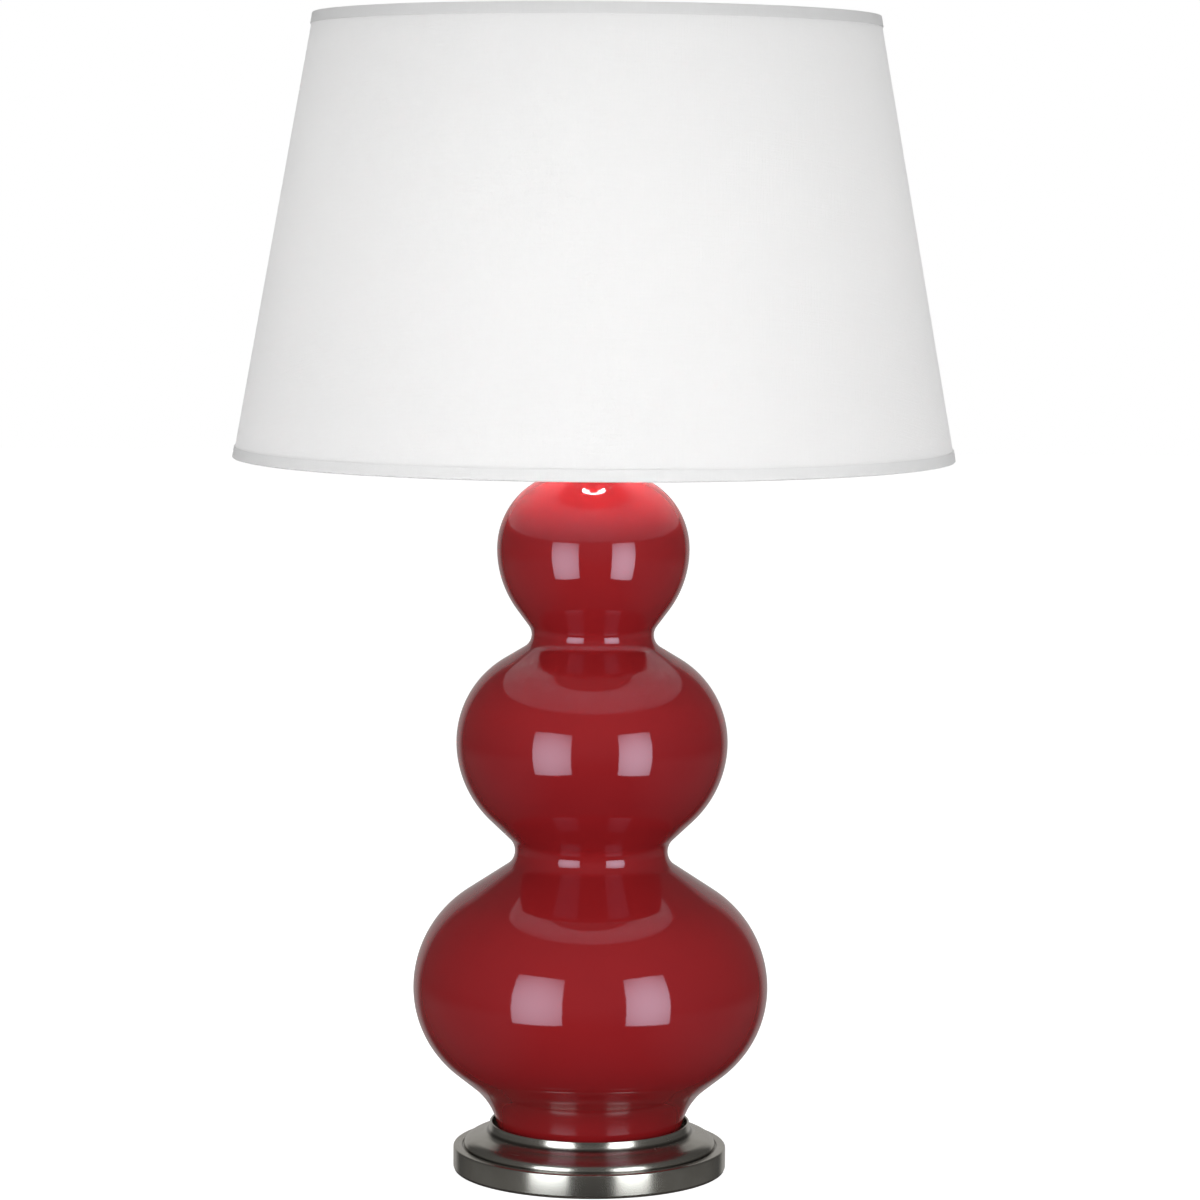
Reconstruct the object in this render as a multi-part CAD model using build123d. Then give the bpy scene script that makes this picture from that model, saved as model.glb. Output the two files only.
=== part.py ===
from build123d import *
from math import acos, asin, atan2, cos, hypot, radians, sin, sqrt
import os

# Triple gourd table lamp, in millimetres.
# The origin is the centre of the felt under the base, +Z is up and -Y is the front.
# A glazed ceramic body of three lobes stands in the collar of a turned metal base.
# A threaded pipe clamps the base, the ceramic, the cap and the socket in one stack.
# A wire harp on that stack carries the shade, which its finial holds down.
# The stack is worked out from the felt upwards, so each piece stands on the one below.

# Base: a turned metal shell with a band, a groove, a curved shoulder and a collar
felt_t = 1.5
felt_inset = 0.6              # felt edge, in from the band
base_wall = 2.2
base_wall_round = 1.0         # inner corner of the band
band_h = 14.5
band_edge_r = 1.3
land_w = 6.0                  # flat top of the band
groove_w = 1.2
groove_d = 0.8
bead_w = 3.6                  # rounded outer edge of the shoulder
bead_rise = 2.8
bead_round = 4.4
shoulder_rise = 5.65
shoulder_round = 11.0
slope_w = 13.9
slope_rise = 9.25
slope_round = 7.4             # hollow between the slope and the collar
collar_h = 16.4               # collar lip above the band
collar_wall = 1.5
collar_gap = 4.8              # from the ceramic's foot to the collar's inside
deck_z = 19.0                 # the floor inside the collar that carries the ceramic

# Ceramic body: each lobe has a radius, a height above the foot and two arcs that meet there
lower_lobe_r = 119.9
lower_lobe_h = 104.5
lower_lobe_arcs = (72.3, 76.6)      # below and above the widest line
middle_lobe_r = 91.4
middle_lobe_h = 271.6
middle_lobe_arcs = (72.3, 64.9)
upper_lobe_r = 64.6
upper_lobe_h = 402.05
upper_lobe_arcs = (68.8, 51.9)
lower_waist_r = 51.6
lower_waist_h = 197.4
lower_waist_arc = 12.3
upper_waist_r = 41.1
upper_waist_h = 344.3
upper_waist_arc = 10.1
foot_r = 61.4
foot_arc = 49.9
foot_waist_h = -1.15          # narrowest line of the foot, just inside the collar
ceramic_wall = 6.0
ceramic_floor = 8.0
foot_ring_w = 9.0
foot_recess = 3.0
mouth_r = 17.0
floor_hole_r = 7.0
gasket_t = 1.0
gasket_in = 1.0               # gasket edge, in from the foot
lip_share = 0.45              # rounding of the collar's lip, as a share of its wall

# Threaded pipe with its nut and washers under the deck
pipe_r = 5.0
pipe_bore_r = 3.2
thread_clear = 0.05
pipe_tail = 2.0               # pipe end below the nut
washer_r = 17.0
washer_t = 1.5
lock_washer_r = 8.4
lock_washer_t = 0.8
lock_tooth_count = 10
lock_tooth_h = 1.8
lock_tooth_w = 2.2
nut_flats = 15.9
nut_t = 4.6
nut_corner_cut = 0.2          # turned off the nut's corners
nut_edge = 0.5

# Cord inlet at the back of the base
inlet_bore_r = 3.5
inlet_body_r = 4.8
inlet_flange_r = 5.6
inlet_lip_r = 5.3
inlet_flange_t = 1.4
inlet_h = 7.4                 # axis of the inlet above the table

# Cap on the mouth of the ceramic and the turned neck above it
cap_r = 26.0
cap_wall = 1.2
cap_h = 12.5
cap_top_r = 9.5
cap_rim_h = 2.6
cap_step_in = 8.0             # from the rim in to the foot of the cap's dome
cap_step_h = 7.0
neck_r = 9.0
neck_waist_r = 6.9
neck_h = 15.0
neck_lip = 1.5

# Harp: saddle, wire, sleeves and the stud that carries the shade
harp_h = 254.0                # underside of the saddle to the seat of the shade
saddle_t = 2.0
saddle_w = 12.7
saddle_tip_w = 6.0
saddle_arm_h = 16.0
saddle_bend = 4.0
saddle_corner_in = 8.0        # the strip turns up this far inside its arms
saddle_corner_up = 6.0
saddle_side_h = 4.0           # full width up to here, then the strip tapers
harp_leg_x = 26.0
harp_half_w = 56.0
harp_wire_r = 2.0
harp_leg_h = 17.0             # straight part of each leg above its peg
harp_elbow_r = 30.0
harp_crown_lean = 12.0        # degrees that it leans in where the crown starts
peg_h = 8.0
sleeve_clear = 0.06
sleeve_wall = 1.1
sleeve_flare = 0.9
sleeve_h = 14.0
sleeve_foot_h = 2.0
sleeve_cone_h = 2.0
saddle_nut_t = 3.5
eyelet_r = 8.6
eyelet_t = 2.6
rivet_r = 2.5
rivet_head_r = 4.5
rivet_head_t = 1.5
stud_seat_r = 8.0
stud_seat_t = 2.7
stud_r = 3.1
stud_h = 14.0

# Socket, measured up from the saddle's nut
socket_cap_wall = 0.8
socket_hub_r = 7.5
socket_hub_h = 4.0
socket_cap_shoulder = 10.0
socket_cap_h = 20.0
socket_shell_wall = 0.6
socket_shell_h = 64.0
shell_lip_z = 14.0
shell_lip_w = 2.0
shell_bead_z = 51.0
shell_bead_w = 0.8
shell_bead_h = 4.0
shell_hole_spare = 1.0        # around the switch's shaft
liner_wall = 0.7
socket_air = 1.4              # from the screw shell to the liner
liner_h = 47.5
core_h = 21.4
core_flat_d = 2.5             # depth of the flats for the terminal screws
core_flat_w = 12.0
core_flat_h = 14.0
core_pocket_r = 8.0
core_pocket_h = 5.0
screw_shell_wall = 0.4
screw_shell_h = 24.0
contact_w = 5.0
contact_t = 0.5
contact_rise = 3.2
contact_reach = 5.0
contact_hole_gap = 2.0        # from the contact's end to the cup's floor
socket_clear = 0.05
terminal_r = 2.8
terminal_t = 1.8
terminal_shank_r = 1.7
terminal_shank_h = 4.0
terminal_edge = 0.4
terminal_slot_w = 0.8
terminal_slot_d = 0.6
drill_spare = 0.2             # a blind hole is this much deeper than what fills it

# Turn switch at the front of the socket
switch_z = 26.0
shaft_r = 2.0
shaft_clear = 0.05
shaft_in = 8.0                # inner end of the shaft from the lamp's axis
knob_gap = 1.76               # from the socket's cap to the knob
knob_grip = 9.0               # length of the shaft inside the knob
knob_len = 14.0
knob_r = 6.6
knob_tip_r = 5.6
knob_flute_count = 14
knob_flute_r = 0.8
knob_flute_out = 0.1          # centre of a flute outside the knob's foot
knob_flute_start = 2.2
knob_edge = 0.6

# Bulb with a medium screw base
bulb_r = 30.0
bulb_len = 108.0
bulb_neck_r = 14.0
bulb_neck_arc = 62.0
bulb_glass_t = 0.8
bulb_base_r = 13.1
bulb_base_clear = 0.09
bulb_base_t = 0.4
bulb_base_h = 20.0
bulb_cone_h = 4.0
bulb_cone_r = 8.6
bulb_tip_r = 4.6
bulb_tip_h = 1.4
bulb_button_h = 2.0
bulb_tip_clear = 0.1
bulb_glass_in = 4.0           # length of the glass inside the base
bulb_cement = 0.1
bulb_neck_step = 0.2
insulator_lip = 0.6
insulator_in = 1.5

# Shade: stiff lined linen on two wire rings, with a folded tape on each edge
shade_bottom_r = 241.3
shade_top_r = 188.2
shade_h = 293.7
shade_drop = 23.0             # seat of the washer below the top edge
tape_t = 0.7
tape_h = 7.6
tape_turn_in = 9.0
tape_slit = 0.2               # slit in the tape around each arm
tape_clear = 0.1              # cut edge of the linen inside the fold
fabric_t = 0.6
lining_t = 0.5
ring_wire_r = 1.45
ring_clear = 0.05
spider_wire_r = 1.5
spider_arm_count = 3
spider_first = 90.0           # degrees, so that one arm points to the back
spider_weld = 0.3
spider_start = 9.5
spider_rise_w = 30.0
spider_bend = 14.0
spider_washer_r = 14.0
spider_washer_t = 1.2
spider_clear = 0.08
seat_clear = 0.05

# Finial
finial_foot_r = 7.5
finial_neck_r = 4.7
finial_ball_r = 8.4
finial_h = 26.0
finial_clear = 0.05
finial_hole_spare = 1.0
finial_foot_h = 2.2
finial_cove_h = 3.6
finial_stem_h = 7.0
finial_ball_low = 10.0
finial_ball_high = 19.5
finial_tip_low = 23.0
finial_tip_r = 2.8

# Radii that follow from the ceramic's foot
collar_r = foot_r + collar_gap + collar_wall
slope_r = collar_r
shoulder_r = slope_r + slope_w
bead_r = shoulder_r + bead_w
band_r = bead_r + groove_w + land_w

# Heights of the stack
band_z = felt_t + band_h
gourd_z = deck_z + gasket_t


def belly(radius, height, arc):
    """A bulging arc of the ceramic: centre and signed radius."""
    return radius - arc, gourd_z + height, arc


def waist(radius, height, arc):
    """A hollow arc of the ceramic: centre and signed radius."""
    return radius + arc, gourd_z + height, -arc


gourd_arcs = [
    waist(foot_r, foot_waist_h, foot_arc),
    belly(lower_lobe_r, lower_lobe_h, lower_lobe_arcs[0]),
    belly(lower_lobe_r, lower_lobe_h, lower_lobe_arcs[1]),
    waist(lower_waist_r, lower_waist_h, lower_waist_arc),
    belly(middle_lobe_r, middle_lobe_h, middle_lobe_arcs[0]),
    belly(middle_lobe_r, middle_lobe_h, middle_lobe_arcs[1]),
    waist(upper_waist_r, upper_waist_h, upper_waist_arc),
    belly(upper_lobe_r, upper_lobe_h, upper_lobe_arcs[0]),
    belly(upper_lobe_r, upper_lobe_h, upper_lobe_arcs[1]),
]


def on_arc(arc, angle, inset=0.0):
    """The point of an arc whose outward normal has this angle, set in by a wall."""
    x, z, r = arc
    return x + (r - inset) * cos(angle), z + (r - inset) * sin(angle)


def meeting_angle(first, second):
    """The normal shared by two arcs at the straight run between them."""
    run = second[0] - first[0]
    rise = second[1] - first[1]
    gap = hypot(run, rise)
    if gap < 1e-9:
        return 0.0
    lean = (first[2] - second[2]) / gap
    return atan2(rise, run) - acos(max(-1.0, min(1.0, lean)))


def gourd_line(bottom_z, inset):
    """The edges of the ceramic's outline from a height up to its mouth."""
    foot, crown = gourd_arcs[0], gourd_arcs[-1]
    angles = [asin((bottom_z - foot[1]) / (foot[2] - inset))]
    angles += [meeting_angle(a, b) for a, b in zip(gourd_arcs, gourd_arcs[1:])]
    angles += [acos((mouth_r - crown[0]) / (crown[2] - inset))]
    edges = []
    for arc, start, end in zip(gourd_arcs, angles, angles[1:]):
        first = on_arc(arc, start, inset)
        if edges and (edges[-1] @ 1 - Vector(*first)).length > 1e-6:
            edges.append(Line(edges[-1] @ 1, first))
        middle = on_arc(arc, (start + end) / 2, inset)
        edges.append(ThreePointArc(first, middle, on_arc(arc, end, inset)))
    return edges


def crown_z(radius):
    """Height of the ceramic's upper surface near its mouth."""
    x, z, r = gourd_arcs[-1]
    return z + sqrt(r * r - (radius - x) ** 2)


# Heights above the ceramic
cap_z = crown_z(cap_r - cap_wall)
neck_z = cap_z + cap_h
saddle_z = neck_z + neck_h
socket_z = saddle_z + saddle_t + saddle_nut_t
shade_seat_z = saddle_z + harp_h
harp_top_z = shade_seat_z - stud_seat_t - eyelet_t / 2
leg_z = saddle_z + saddle_arm_h + peg_h + seat_clear
nut_z = deck_z - base_wall - washer_t - lock_washer_t - nut_t
pipe_z = nut_z - pipe_tail
pipe_top = socket_z + socket_hub_h + socket_cap_wall

# Radii of the socket, from the bulb's base outwards
screw_shell_r = bulb_base_r + bulb_base_clear
core_r = screw_shell_r + screw_shell_wall + socket_air
core_flat = core_r - core_flat_d
liner_r = core_r + socket_clear + liner_wall
socket_shell_r = liner_r + socket_clear + socket_shell_wall
socket_cap_r = socket_shell_r + socket_clear + socket_cap_wall
knob_in = socket_cap_r + knob_gap
shaft_out = knob_in + knob_grip
core_z = socket_z + shell_lip_z + socket_shell_wall
core_top = core_z + core_h
terminal_z = core_z + core_h / 2
bulb_z = core_top + contact_t + contact_rise + bulb_tip_clear

# Slant of the shade
slant_len = hypot(shade_bottom_r - shade_top_r, shade_h)
slant_angle = atan2(shade_bottom_r - shade_top_r, shade_h)
washer_z = shade_seat_z + seat_clear
shade_z = washer_z + shade_drop - shade_h
wall_t = fabric_t + lining_t
ring_inset = tape_t + wall_t + ring_clear + ring_wire_r
ring_along = tape_t + ring_clear + ring_wire_r


def shade_point(along, inset):
    """Radius and height of a point up the shade's slant and in from its outer face."""
    r = shade_bottom_r - along * sin(slant_angle) - inset * cos(slant_angle)
    z = shade_z + along * cos(slant_angle) - inset * sin(slant_angle)
    return r, z


def turned(edges):
    """A solid turned about the lamp's axis from a closed outline of radius and height."""
    return revolve(Plane.XZ * make_face(edges), Axis.Z)


def turned_corners(points, rounds=0.0):
    """A turned solid from the corners of its outline, each with its own rounding."""
    if rounds == 0.0:
        return turned(Polyline(*points, close=True).edges())
    return turned(FilletPolyline(*points, radius=rounds, close=True).edges())


def flat_ring(inner_r, outer_r, z, height):
    """A washer or a straight tube on the lamp's axis, or a disc when it has no hole."""
    face = Circle(outer_r)
    if inner_r > 0:
        face -= Circle(inner_r)
    return Pos(0, 0, z) * extrude(face, height)


def cross_hole(radius, z, start, end):
    """A drill along Y at a height, from one place on Y to another."""
    return Pos(0, start, z) * Rot(-90, 0, 0) * extrude(Circle(radius), end - start)


def base_outside():
    """Corners of the base's outer face from the felt up to the collar's lip, with roundings."""
    return [
        ((band_r, felt_t), 0.4),
        ((band_r, band_z), band_edge_r),
        ((bead_r + groove_w, band_z), 0.0),
        ((bead_r + groove_w, band_z - groove_d), 0.0),
        ((bead_r, band_z - groove_d), 0.0),
        ((bead_r, band_z + bead_rise), bead_round),
        ((shoulder_r, band_z + shoulder_rise), shoulder_round),
        ((slope_r, band_z + slope_rise), slope_round),
        ((collar_r, band_z + collar_h), collar_wall * lip_share),
        ((collar_r - collar_wall, band_z + collar_h), collar_wall * lip_share),
    ]


def base_inside():
    """Corners of the collar's floor and of the hollow under it, back to the felt."""
    hole_r = pipe_r + thread_clear
    under = deck_z - base_wall
    step_r = bead_r - bead_w
    return [
        ((collar_r - collar_wall, deck_z), 1.0),
        ((hole_r, deck_z), 0.0),
        ((hole_r, under), 0.0),
        ((step_r, under), 1.0),
        ((step_r, band_z - base_wall), 1.0),
        ((band_r - base_wall, band_z - base_wall), base_wall_round),
        ((band_r - base_wall, felt_t), 0.0),
    ]


def base_pedestal():
    corners = base_outside() + base_inside()
    shell = turned_corners([point for point, _ in corners], [r for _, r in corners])
    return shell - cross_hole(inlet_body_r, inlet_h, band_r - 3 * base_wall, band_r + base_wall)


def cord_bushing():
    """A snap bushing through the back of the band, its flange shaped to the band."""
    wall_in = band_r - base_wall
    body = cross_hole(inlet_body_r, inlet_h, wall_in - inlet_flange_t, band_r + inlet_flange_t)
    flange = cross_hole(inlet_flange_r, inlet_h, wall_in, band_r + inlet_flange_t)
    lip = cross_hole(inlet_lip_r, inlet_h, wall_in - inlet_flange_t, band_r)
    outside = flange - flat_ring(0.1, band_r, 0, band_z)
    inside = lip & flat_ring(0.1, wall_in, 0, band_z)
    bore = cross_hole(inlet_bore_r, inlet_h, wall_in - 2 * inlet_flange_t, band_r + 2 * inlet_flange_t)
    return body + outside + inside - bore


def gourd_body():
    """The slip-cast ceramic: the same arcs outside and inside, one wall apart."""
    floor_z = gourd_z + ceramic_floor
    outer = gourd_line(gourd_z, 0.0)
    inner = gourd_line(floor_z, ceramic_wall)
    ring_r = foot_r - foot_ring_w
    foot = [
        inner[0] @ 0,
        (floor_hole_r, floor_z),
        (floor_hole_r, gourd_z + foot_recess),
        (ring_r, gourd_z + foot_recess),
        (ring_r, gourd_z),
        outer[0] @ 0,
    ]
    lip = Line(outer[-1] @ 1, inner[-1] @ 1)
    return turned(outer + inner + [lip] + Polyline(*foot).edges())


def lock_washer():
    """A washer with outer teeth."""
    tooth_r = lock_washer_r - lock_tooth_h
    body = Circle(tooth_r)
    for tooth in range(lock_tooth_count):
        turn = Rot(0, 0, tooth * 360 / lock_tooth_count)
        body += turn * Pos(tooth_r, 0) * Rectangle(2 * lock_tooth_h, lock_tooth_w)
    body -= Circle(pipe_r + thread_clear)
    return Pos(0, 0, nut_z + nut_t) * extrude(body, lock_washer_t)


def hex_nut(z, height):
    """A hexagon nut on the pipe with its corners turned off."""
    corner_r = nut_flats / sqrt(3)
    nut = extrude(RegularPolygon(corner_r, 6), height) - extrude(Circle(pipe_r + thread_clear), height)
    blank = extrude(Circle(corner_r - nut_corner_cut), height)
    blank = chamfer(blank.edges(), nut_edge)
    return Pos(0, 0, z) * (nut & blank)


def vase_cap():
    """A spun cap on the mouth of the ceramic."""
    hole_r = pipe_r + thread_clear
    points = [
        (cap_r, cap_z),
        (cap_r, cap_z + cap_rim_h),
        (cap_r - cap_step_in, cap_z + cap_step_h),
        (cap_top_r, cap_z + cap_h),
        (hole_r, cap_z + cap_h),
        (hole_r, cap_z + cap_h - cap_wall),
        (cap_top_r - cap_wall * 0.67, cap_z + cap_h - cap_wall),
        (cap_r - cap_step_in - cap_wall / 2, cap_z + cap_step_h - cap_wall),
        (cap_r - cap_wall, cap_z + cap_rim_h - cap_wall / 2),
        (cap_r - cap_wall, cap_z),
    ]
    return turned_corners(points, [0.3, 2.0, 6.0, 1.0, 0, 0, 0.4, 7.0, 1.0, 0.3])


def neck():
    """A turned neck with a hollow side between two flanges."""
    hole_r = pipe_r + thread_clear
    lip = neck_lip
    side = ThreePointArc(
        (neck_r, neck_z + lip), (neck_waist_r, neck_z + neck_h / 2), (neck_r, neck_z + neck_h - lip)
    )
    rest = Polyline(
        (neck_r, neck_z + neck_h - lip), (neck_r, neck_z + neck_h), (hole_r, neck_z + neck_h),
        (hole_r, neck_z), (neck_r, neck_z), (neck_r, neck_z + lip),
    )
    return turned([side] + rest.edges())


def harp_saddle():
    """A bent strip with two upright arms, each ending in a round peg for a harp leg."""
    z = saddle_z + saddle_t / 2
    tip_z = saddle_z + saddle_arm_h
    side_z = saddle_z + saddle_side_h
    bend_x = harp_leg_x - saddle_corner_in
    path = FilletPolyline(
        (-harp_leg_x, tip_z), (-harp_leg_x, z + saddle_corner_up), (-bend_x, z), (bend_x, z),
        (harp_leg_x, z + saddle_corner_up), (harp_leg_x, tip_z), radius=saddle_bend,
    )
    strip = extrude(Plane.XZ * trace(path, saddle_t), saddle_w / 2, both=True)
    side = Polyline(
        (-saddle_w / 2, saddle_z), (saddle_w / 2, saddle_z), (saddle_w / 2, side_z),
        (saddle_tip_w / 2, tip_z), (-saddle_tip_w / 2, tip_z), (-saddle_w / 2, side_z),
        close=True,
    )
    strip &= extrude(Plane.YZ * make_face(side.edges()), 2 * harp_leg_x, both=True)
    for x in (-harp_leg_x, harp_leg_x):
        strip += Pos(x, 0, tip_z) * extrude(Circle(harp_wire_r), peg_h)
    return strip - flat_ring(0, pipe_r + thread_clear, saddle_z - 1, saddle_t + 2)


def harp_arcs(lean):
    """Radii of the wire's side and crown, and their rise, when it leans out this far."""
    side_out = 1 - cos(radians(lean))
    crown_in = radians(harp_crown_lean)
    bow_r = (harp_half_w - harp_leg_x) / side_out - harp_elbow_r
    crown_r = (harp_half_w - bow_r * (1 - cos(crown_in))) / cos(crown_in)
    rise = harp_elbow_r * sin(radians(lean)) + bow_r * (sin(radians(lean)) + sin(crown_in))
    return bow_r, crown_r, rise + crown_r * (1 - sin(crown_in))


def harp_lean(rise):
    """Degrees that the wire leans out above its legs so that its crown ends at this rise."""
    low, high = 5.0, 80.0
    for _ in range(60):
        middle = (low + high) / 2
        if harp_arcs(middle)[2] > rise:
            low = middle
        else:
            high = middle
    return low


def harp_path():
    """The bent line of the wire, from the left leg over the crown to the right leg."""
    lean = harp_lean(harp_top_z - leg_z - harp_leg_h)
    bow_r, crown_r, _ = harp_arcs(lean)
    leg = Line((harp_leg_x, leg_z), (harp_leg_x, leg_z + harp_leg_h))
    elbow = JernArc(leg @ 1, leg % 1, harp_elbow_r, -lean)
    bow = JernArc(elbow @ 1, elbow % 1, bow_r, lean + harp_crown_lean)
    crown = JernArc(bow @ 1, bow % 1, crown_r, 90 - harp_crown_lean)
    right = [leg, elbow, bow, crown]
    left = [edge.mirror(Plane.YZ) for edge in right]
    return Wire((Plane.XZ * Curve(right + left)).edges())


def harp_wire():
    """The harp's wire with the flat eyelet at its top."""
    foot = Plane(origin=(harp_leg_x, 0, leg_z), z_dir=(0, 0, 1))
    wire = sweep(foot * Circle(harp_wire_r), path=harp_path())
    wire += flat_ring(0, eyelet_r, harp_top_z - eyelet_t / 2, eyelet_t)
    band = Box(3 * eyelet_r, 3 * eyelet_r, 2 * harp_wire_r)
    for side in (-1, 1):
        shift = side * (eyelet_t / 2 + harp_wire_r)
        wire -= Pos(0, 0, harp_top_z + shift) * (band & Cylinder(eyelet_r, 3 * harp_wire_r))
    return wire - flat_ring(0, rivet_r + socket_clear, harp_top_z - 5, 10)


def harp_sleeve(x):
    """A small thimble that covers the joint of a harp leg and its peg."""
    inner = harp_wire_r + sleeve_clear
    outer = inner + sleeve_wall
    z = saddle_z + saddle_arm_h + seat_clear
    points = [
        (inner, z), (outer + sleeve_flare, z), (outer + sleeve_flare, z + sleeve_foot_h),
        (outer, z + sleeve_foot_h + sleeve_cone_h), (outer, z + sleeve_h), (inner, z + sleeve_h),
    ]
    return Pos(x, 0, 0) * turned_corners(points, [0, 0.4, 0.8, 1.5, 0.4, 0])


def harp_stud():
    """The riveted stud on the eyelet: a head, a seat for the shade and a threaded end."""
    low = harp_top_z - eyelet_t / 2 - rivet_head_t
    high = harp_top_z + eyelet_t / 2
    points = [
        (0, low), (rivet_head_r, low), (rivet_head_r, low + rivet_head_t),
        (rivet_r, low + rivet_head_t), (rivet_r, high), (stud_seat_r, high),
        (stud_seat_r, shade_seat_z), (stud_r, shade_seat_z), (stud_r, shade_seat_z + stud_h),
        (0, shade_seat_z + stud_h),
    ]
    return turned_corners(points, [0, 0.8, 0, 0, 0, 0.3, 0.3, 0, 0.5, 0])


def socket_cap():
    hole_r = pipe_r + thread_clear
    z = socket_z
    wall = socket_cap_wall
    points = [
        (hole_r, z), (socket_hub_r, z), (socket_hub_r, z + socket_hub_h),
        (socket_cap_r, z + socket_cap_shoulder), (socket_cap_r, z + socket_cap_h),
        (socket_cap_r - wall, z + socket_cap_h), (socket_cap_r - wall, z + socket_cap_shoulder + wall),
        (socket_hub_r - wall / 2, z + socket_hub_h + wall), (hole_r, z + socket_hub_h + wall),
    ]
    return turned_corners(points, [0, 0.4, 0.8, 5.0, 0.3, 0.3, 4.2, 0.6, 0])


def socket_shell():
    z = socket_z + shell_lip_z
    top = socket_z + socket_shell_h
    bead = socket_z + shell_bead_z
    r, wall, swell, half = socket_shell_r, socket_shell_wall, shell_bead_w, shell_bead_h / 2
    points = [
        (r - shell_lip_w - wall, z), (r, z), (r, bead - half), (r + swell, bead - half / 2),
        (r + swell, bead + half / 2), (r, bead + half), (r, top), (r - wall, top),
        (r - wall, bead + half), (r - wall + swell, bead + half / 2),
        (r - wall + swell, bead - half / 2), (r - wall, bead - half), (r - wall, z + wall),
        (r - shell_lip_w - wall, z + wall),
    ]
    rounds = [0, 0.3, 0.4, 0.5, 0.5, 0.4, 0.2, 0.2, 0.4, 0.5, 0.5, 0.4, 0, 0]
    hole = cross_hole(shaft_r + shell_hole_spare, socket_z + switch_z, -2 * socket_shell_r, 0)
    return turned_corners(points, rounds) - hole


def socket_liner():
    """The stiff paper liner that keeps the live parts off the metal shell."""
    liner = flat_ring(liner_r - liner_wall, liner_r, core_z, liner_h)
    return liner - cross_hole(shaft_r + shell_hole_spare, socket_z + switch_z, -2 * liner_r, 0)


def socket_core():
    """The moulded block that holds the switch, with flats for its terminal screws."""
    core = flat_ring(0, core_r, core_z, core_h) - flat_ring(0, core_pocket_r, core_z, core_pocket_h)
    slab = Box(2 * core_r, core_flat_w, core_flat_h)
    bore = extrude(Circle(terminal_shank_r + socket_clear), terminal_shank_h + drill_spare)
    for side in (-1, 1):
        core -= Pos(side * (core_flat + core_r), 0, terminal_z) * slab
        core -= Pos(side * core_flat, 0, terminal_z) * Rot(0, -90 * side, 0) * bore
    hole_end = drill_spare - shaft_in
    return core - cross_hole(shaft_r + shaft_clear, socket_z + switch_z, -2 * core_r, hole_end)


def terminal_screws():
    """Two screws, one on each flat of the socket's block."""
    shank = extrude(Circle(terminal_shank_r), terminal_shank_h)
    head = chamfer(extrude(Circle(terminal_r), -terminal_t).edges().sort_by(Axis.Z)[0], terminal_edge)
    slot = Pos(0, 0, -terminal_t) * Box(terminal_slot_w, 2 * terminal_r, 2 * terminal_slot_d)
    screw = shank + head - slot
    places = [Pos(side * core_flat, 0, terminal_z) * Rot(0, -90 * side, 0) for side in (-1, 1)]
    return Compound(children=[place * screw for place in places])


def screw_shell():
    """The threaded brass cup that the bulb turns into, with a hole for the contact."""
    outer_r = screw_shell_r + screw_shell_wall
    floor = flat_ring(contact_reach + contact_hole_gap, outer_r, core_top, screw_shell_wall)
    wall = flat_ring(screw_shell_r, outer_r, core_top, screw_shell_h)
    return floor + wall


def centre_contact():
    """A bent brass spring leaf on the block, under the bulb's tip."""
    z = core_top + contact_t / 2
    path = Polyline(
        (-contact_reach, z), (-contact_reach / 2, z), (contact_reach * 0.3, z + contact_rise),
        (contact_reach * 0.9, z + contact_rise),
    )
    return extrude(Plane.XZ * trace(path, contact_t), contact_w / 2, both=True)


def switch_shaft():
    return cross_hole(shaft_r, socket_z + switch_z, -shaft_out, -shaft_in)


def switch_knob():
    """A tapered knob with flutes round its side, on the end of the shaft."""
    knob = loft([Circle(knob_r).face(), Pos(0, 0, knob_len) * Circle(knob_tip_r).face()])
    knob = chamfer(knob.edges(), knob_edge)
    cutter = Pos(knob_r + knob_flute_out, 0, knob_flute_start) * extrude(Circle(knob_flute_r), knob_len)
    for flute in range(knob_flute_count):
        knob -= Rot(0, 0, flute * 360 / knob_flute_count) * cutter
    knob -= extrude(Circle(shaft_r + socket_clear), knob_grip + drill_spare)
    return Pos(0, -knob_in, socket_z + switch_z) * Rot(90, 0, 0) * knob


def bulb_outline(inset):
    """Edges of the bulb's side from its neck to its top, set in by the glass."""
    ball_z = bulb_z + bulb_len - bulb_r
    ball = (0.0, ball_z, bulb_r)
    neck_x = bulb_neck_r + bulb_neck_arc
    drop = sqrt((bulb_r + bulb_neck_arc) ** 2 - neck_x ** 2)
    neck_arc = (neck_x, ball_z - drop, -bulb_neck_arc)
    join = meeting_angle(neck_arc, ball)
    side = ThreePointArc(
        on_arc(neck_arc, 0.0, inset), on_arc(neck_arc, join / 2, inset), on_arc(neck_arc, join, inset)
    )
    top = radians(90)
    dome = ThreePointArc(
        on_arc(ball, join, inset), on_arc(ball, (join + top) / 2, inset), on_arc(ball, top, inset)
    )
    return [side, dome]


def bulb_glass():
    """A blown glass bulb, open at the neck where its base closes it."""
    base_top = bulb_z + bulb_tip_h + bulb_button_h + bulb_cone_h + bulb_base_h
    foot_z = base_top - bulb_glass_in
    foot_out = bulb_base_r - bulb_base_t - bulb_cement
    outer, inner = bulb_outline(0.0), bulb_outline(bulb_glass_t)
    neck_out, neck_in = outer[0] @ 0, inner[0] @ 0
    collar_z = base_top + bulb_neck_step
    rest = [
        Line(outer[1] @ 1, inner[1] @ 1),
        Polyline(
            neck_out, (neck_out.X, collar_z), (foot_out, collar_z), (foot_out, foot_z),
            (foot_out - bulb_glass_t, foot_z), (foot_out - bulb_glass_t, collar_z + bulb_glass_t),
            (neck_in.X, collar_z + bulb_glass_t), neck_in,
        ),
    ]
    return turned(outer + inner + [rest[0]] + rest[1].edges())


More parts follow.
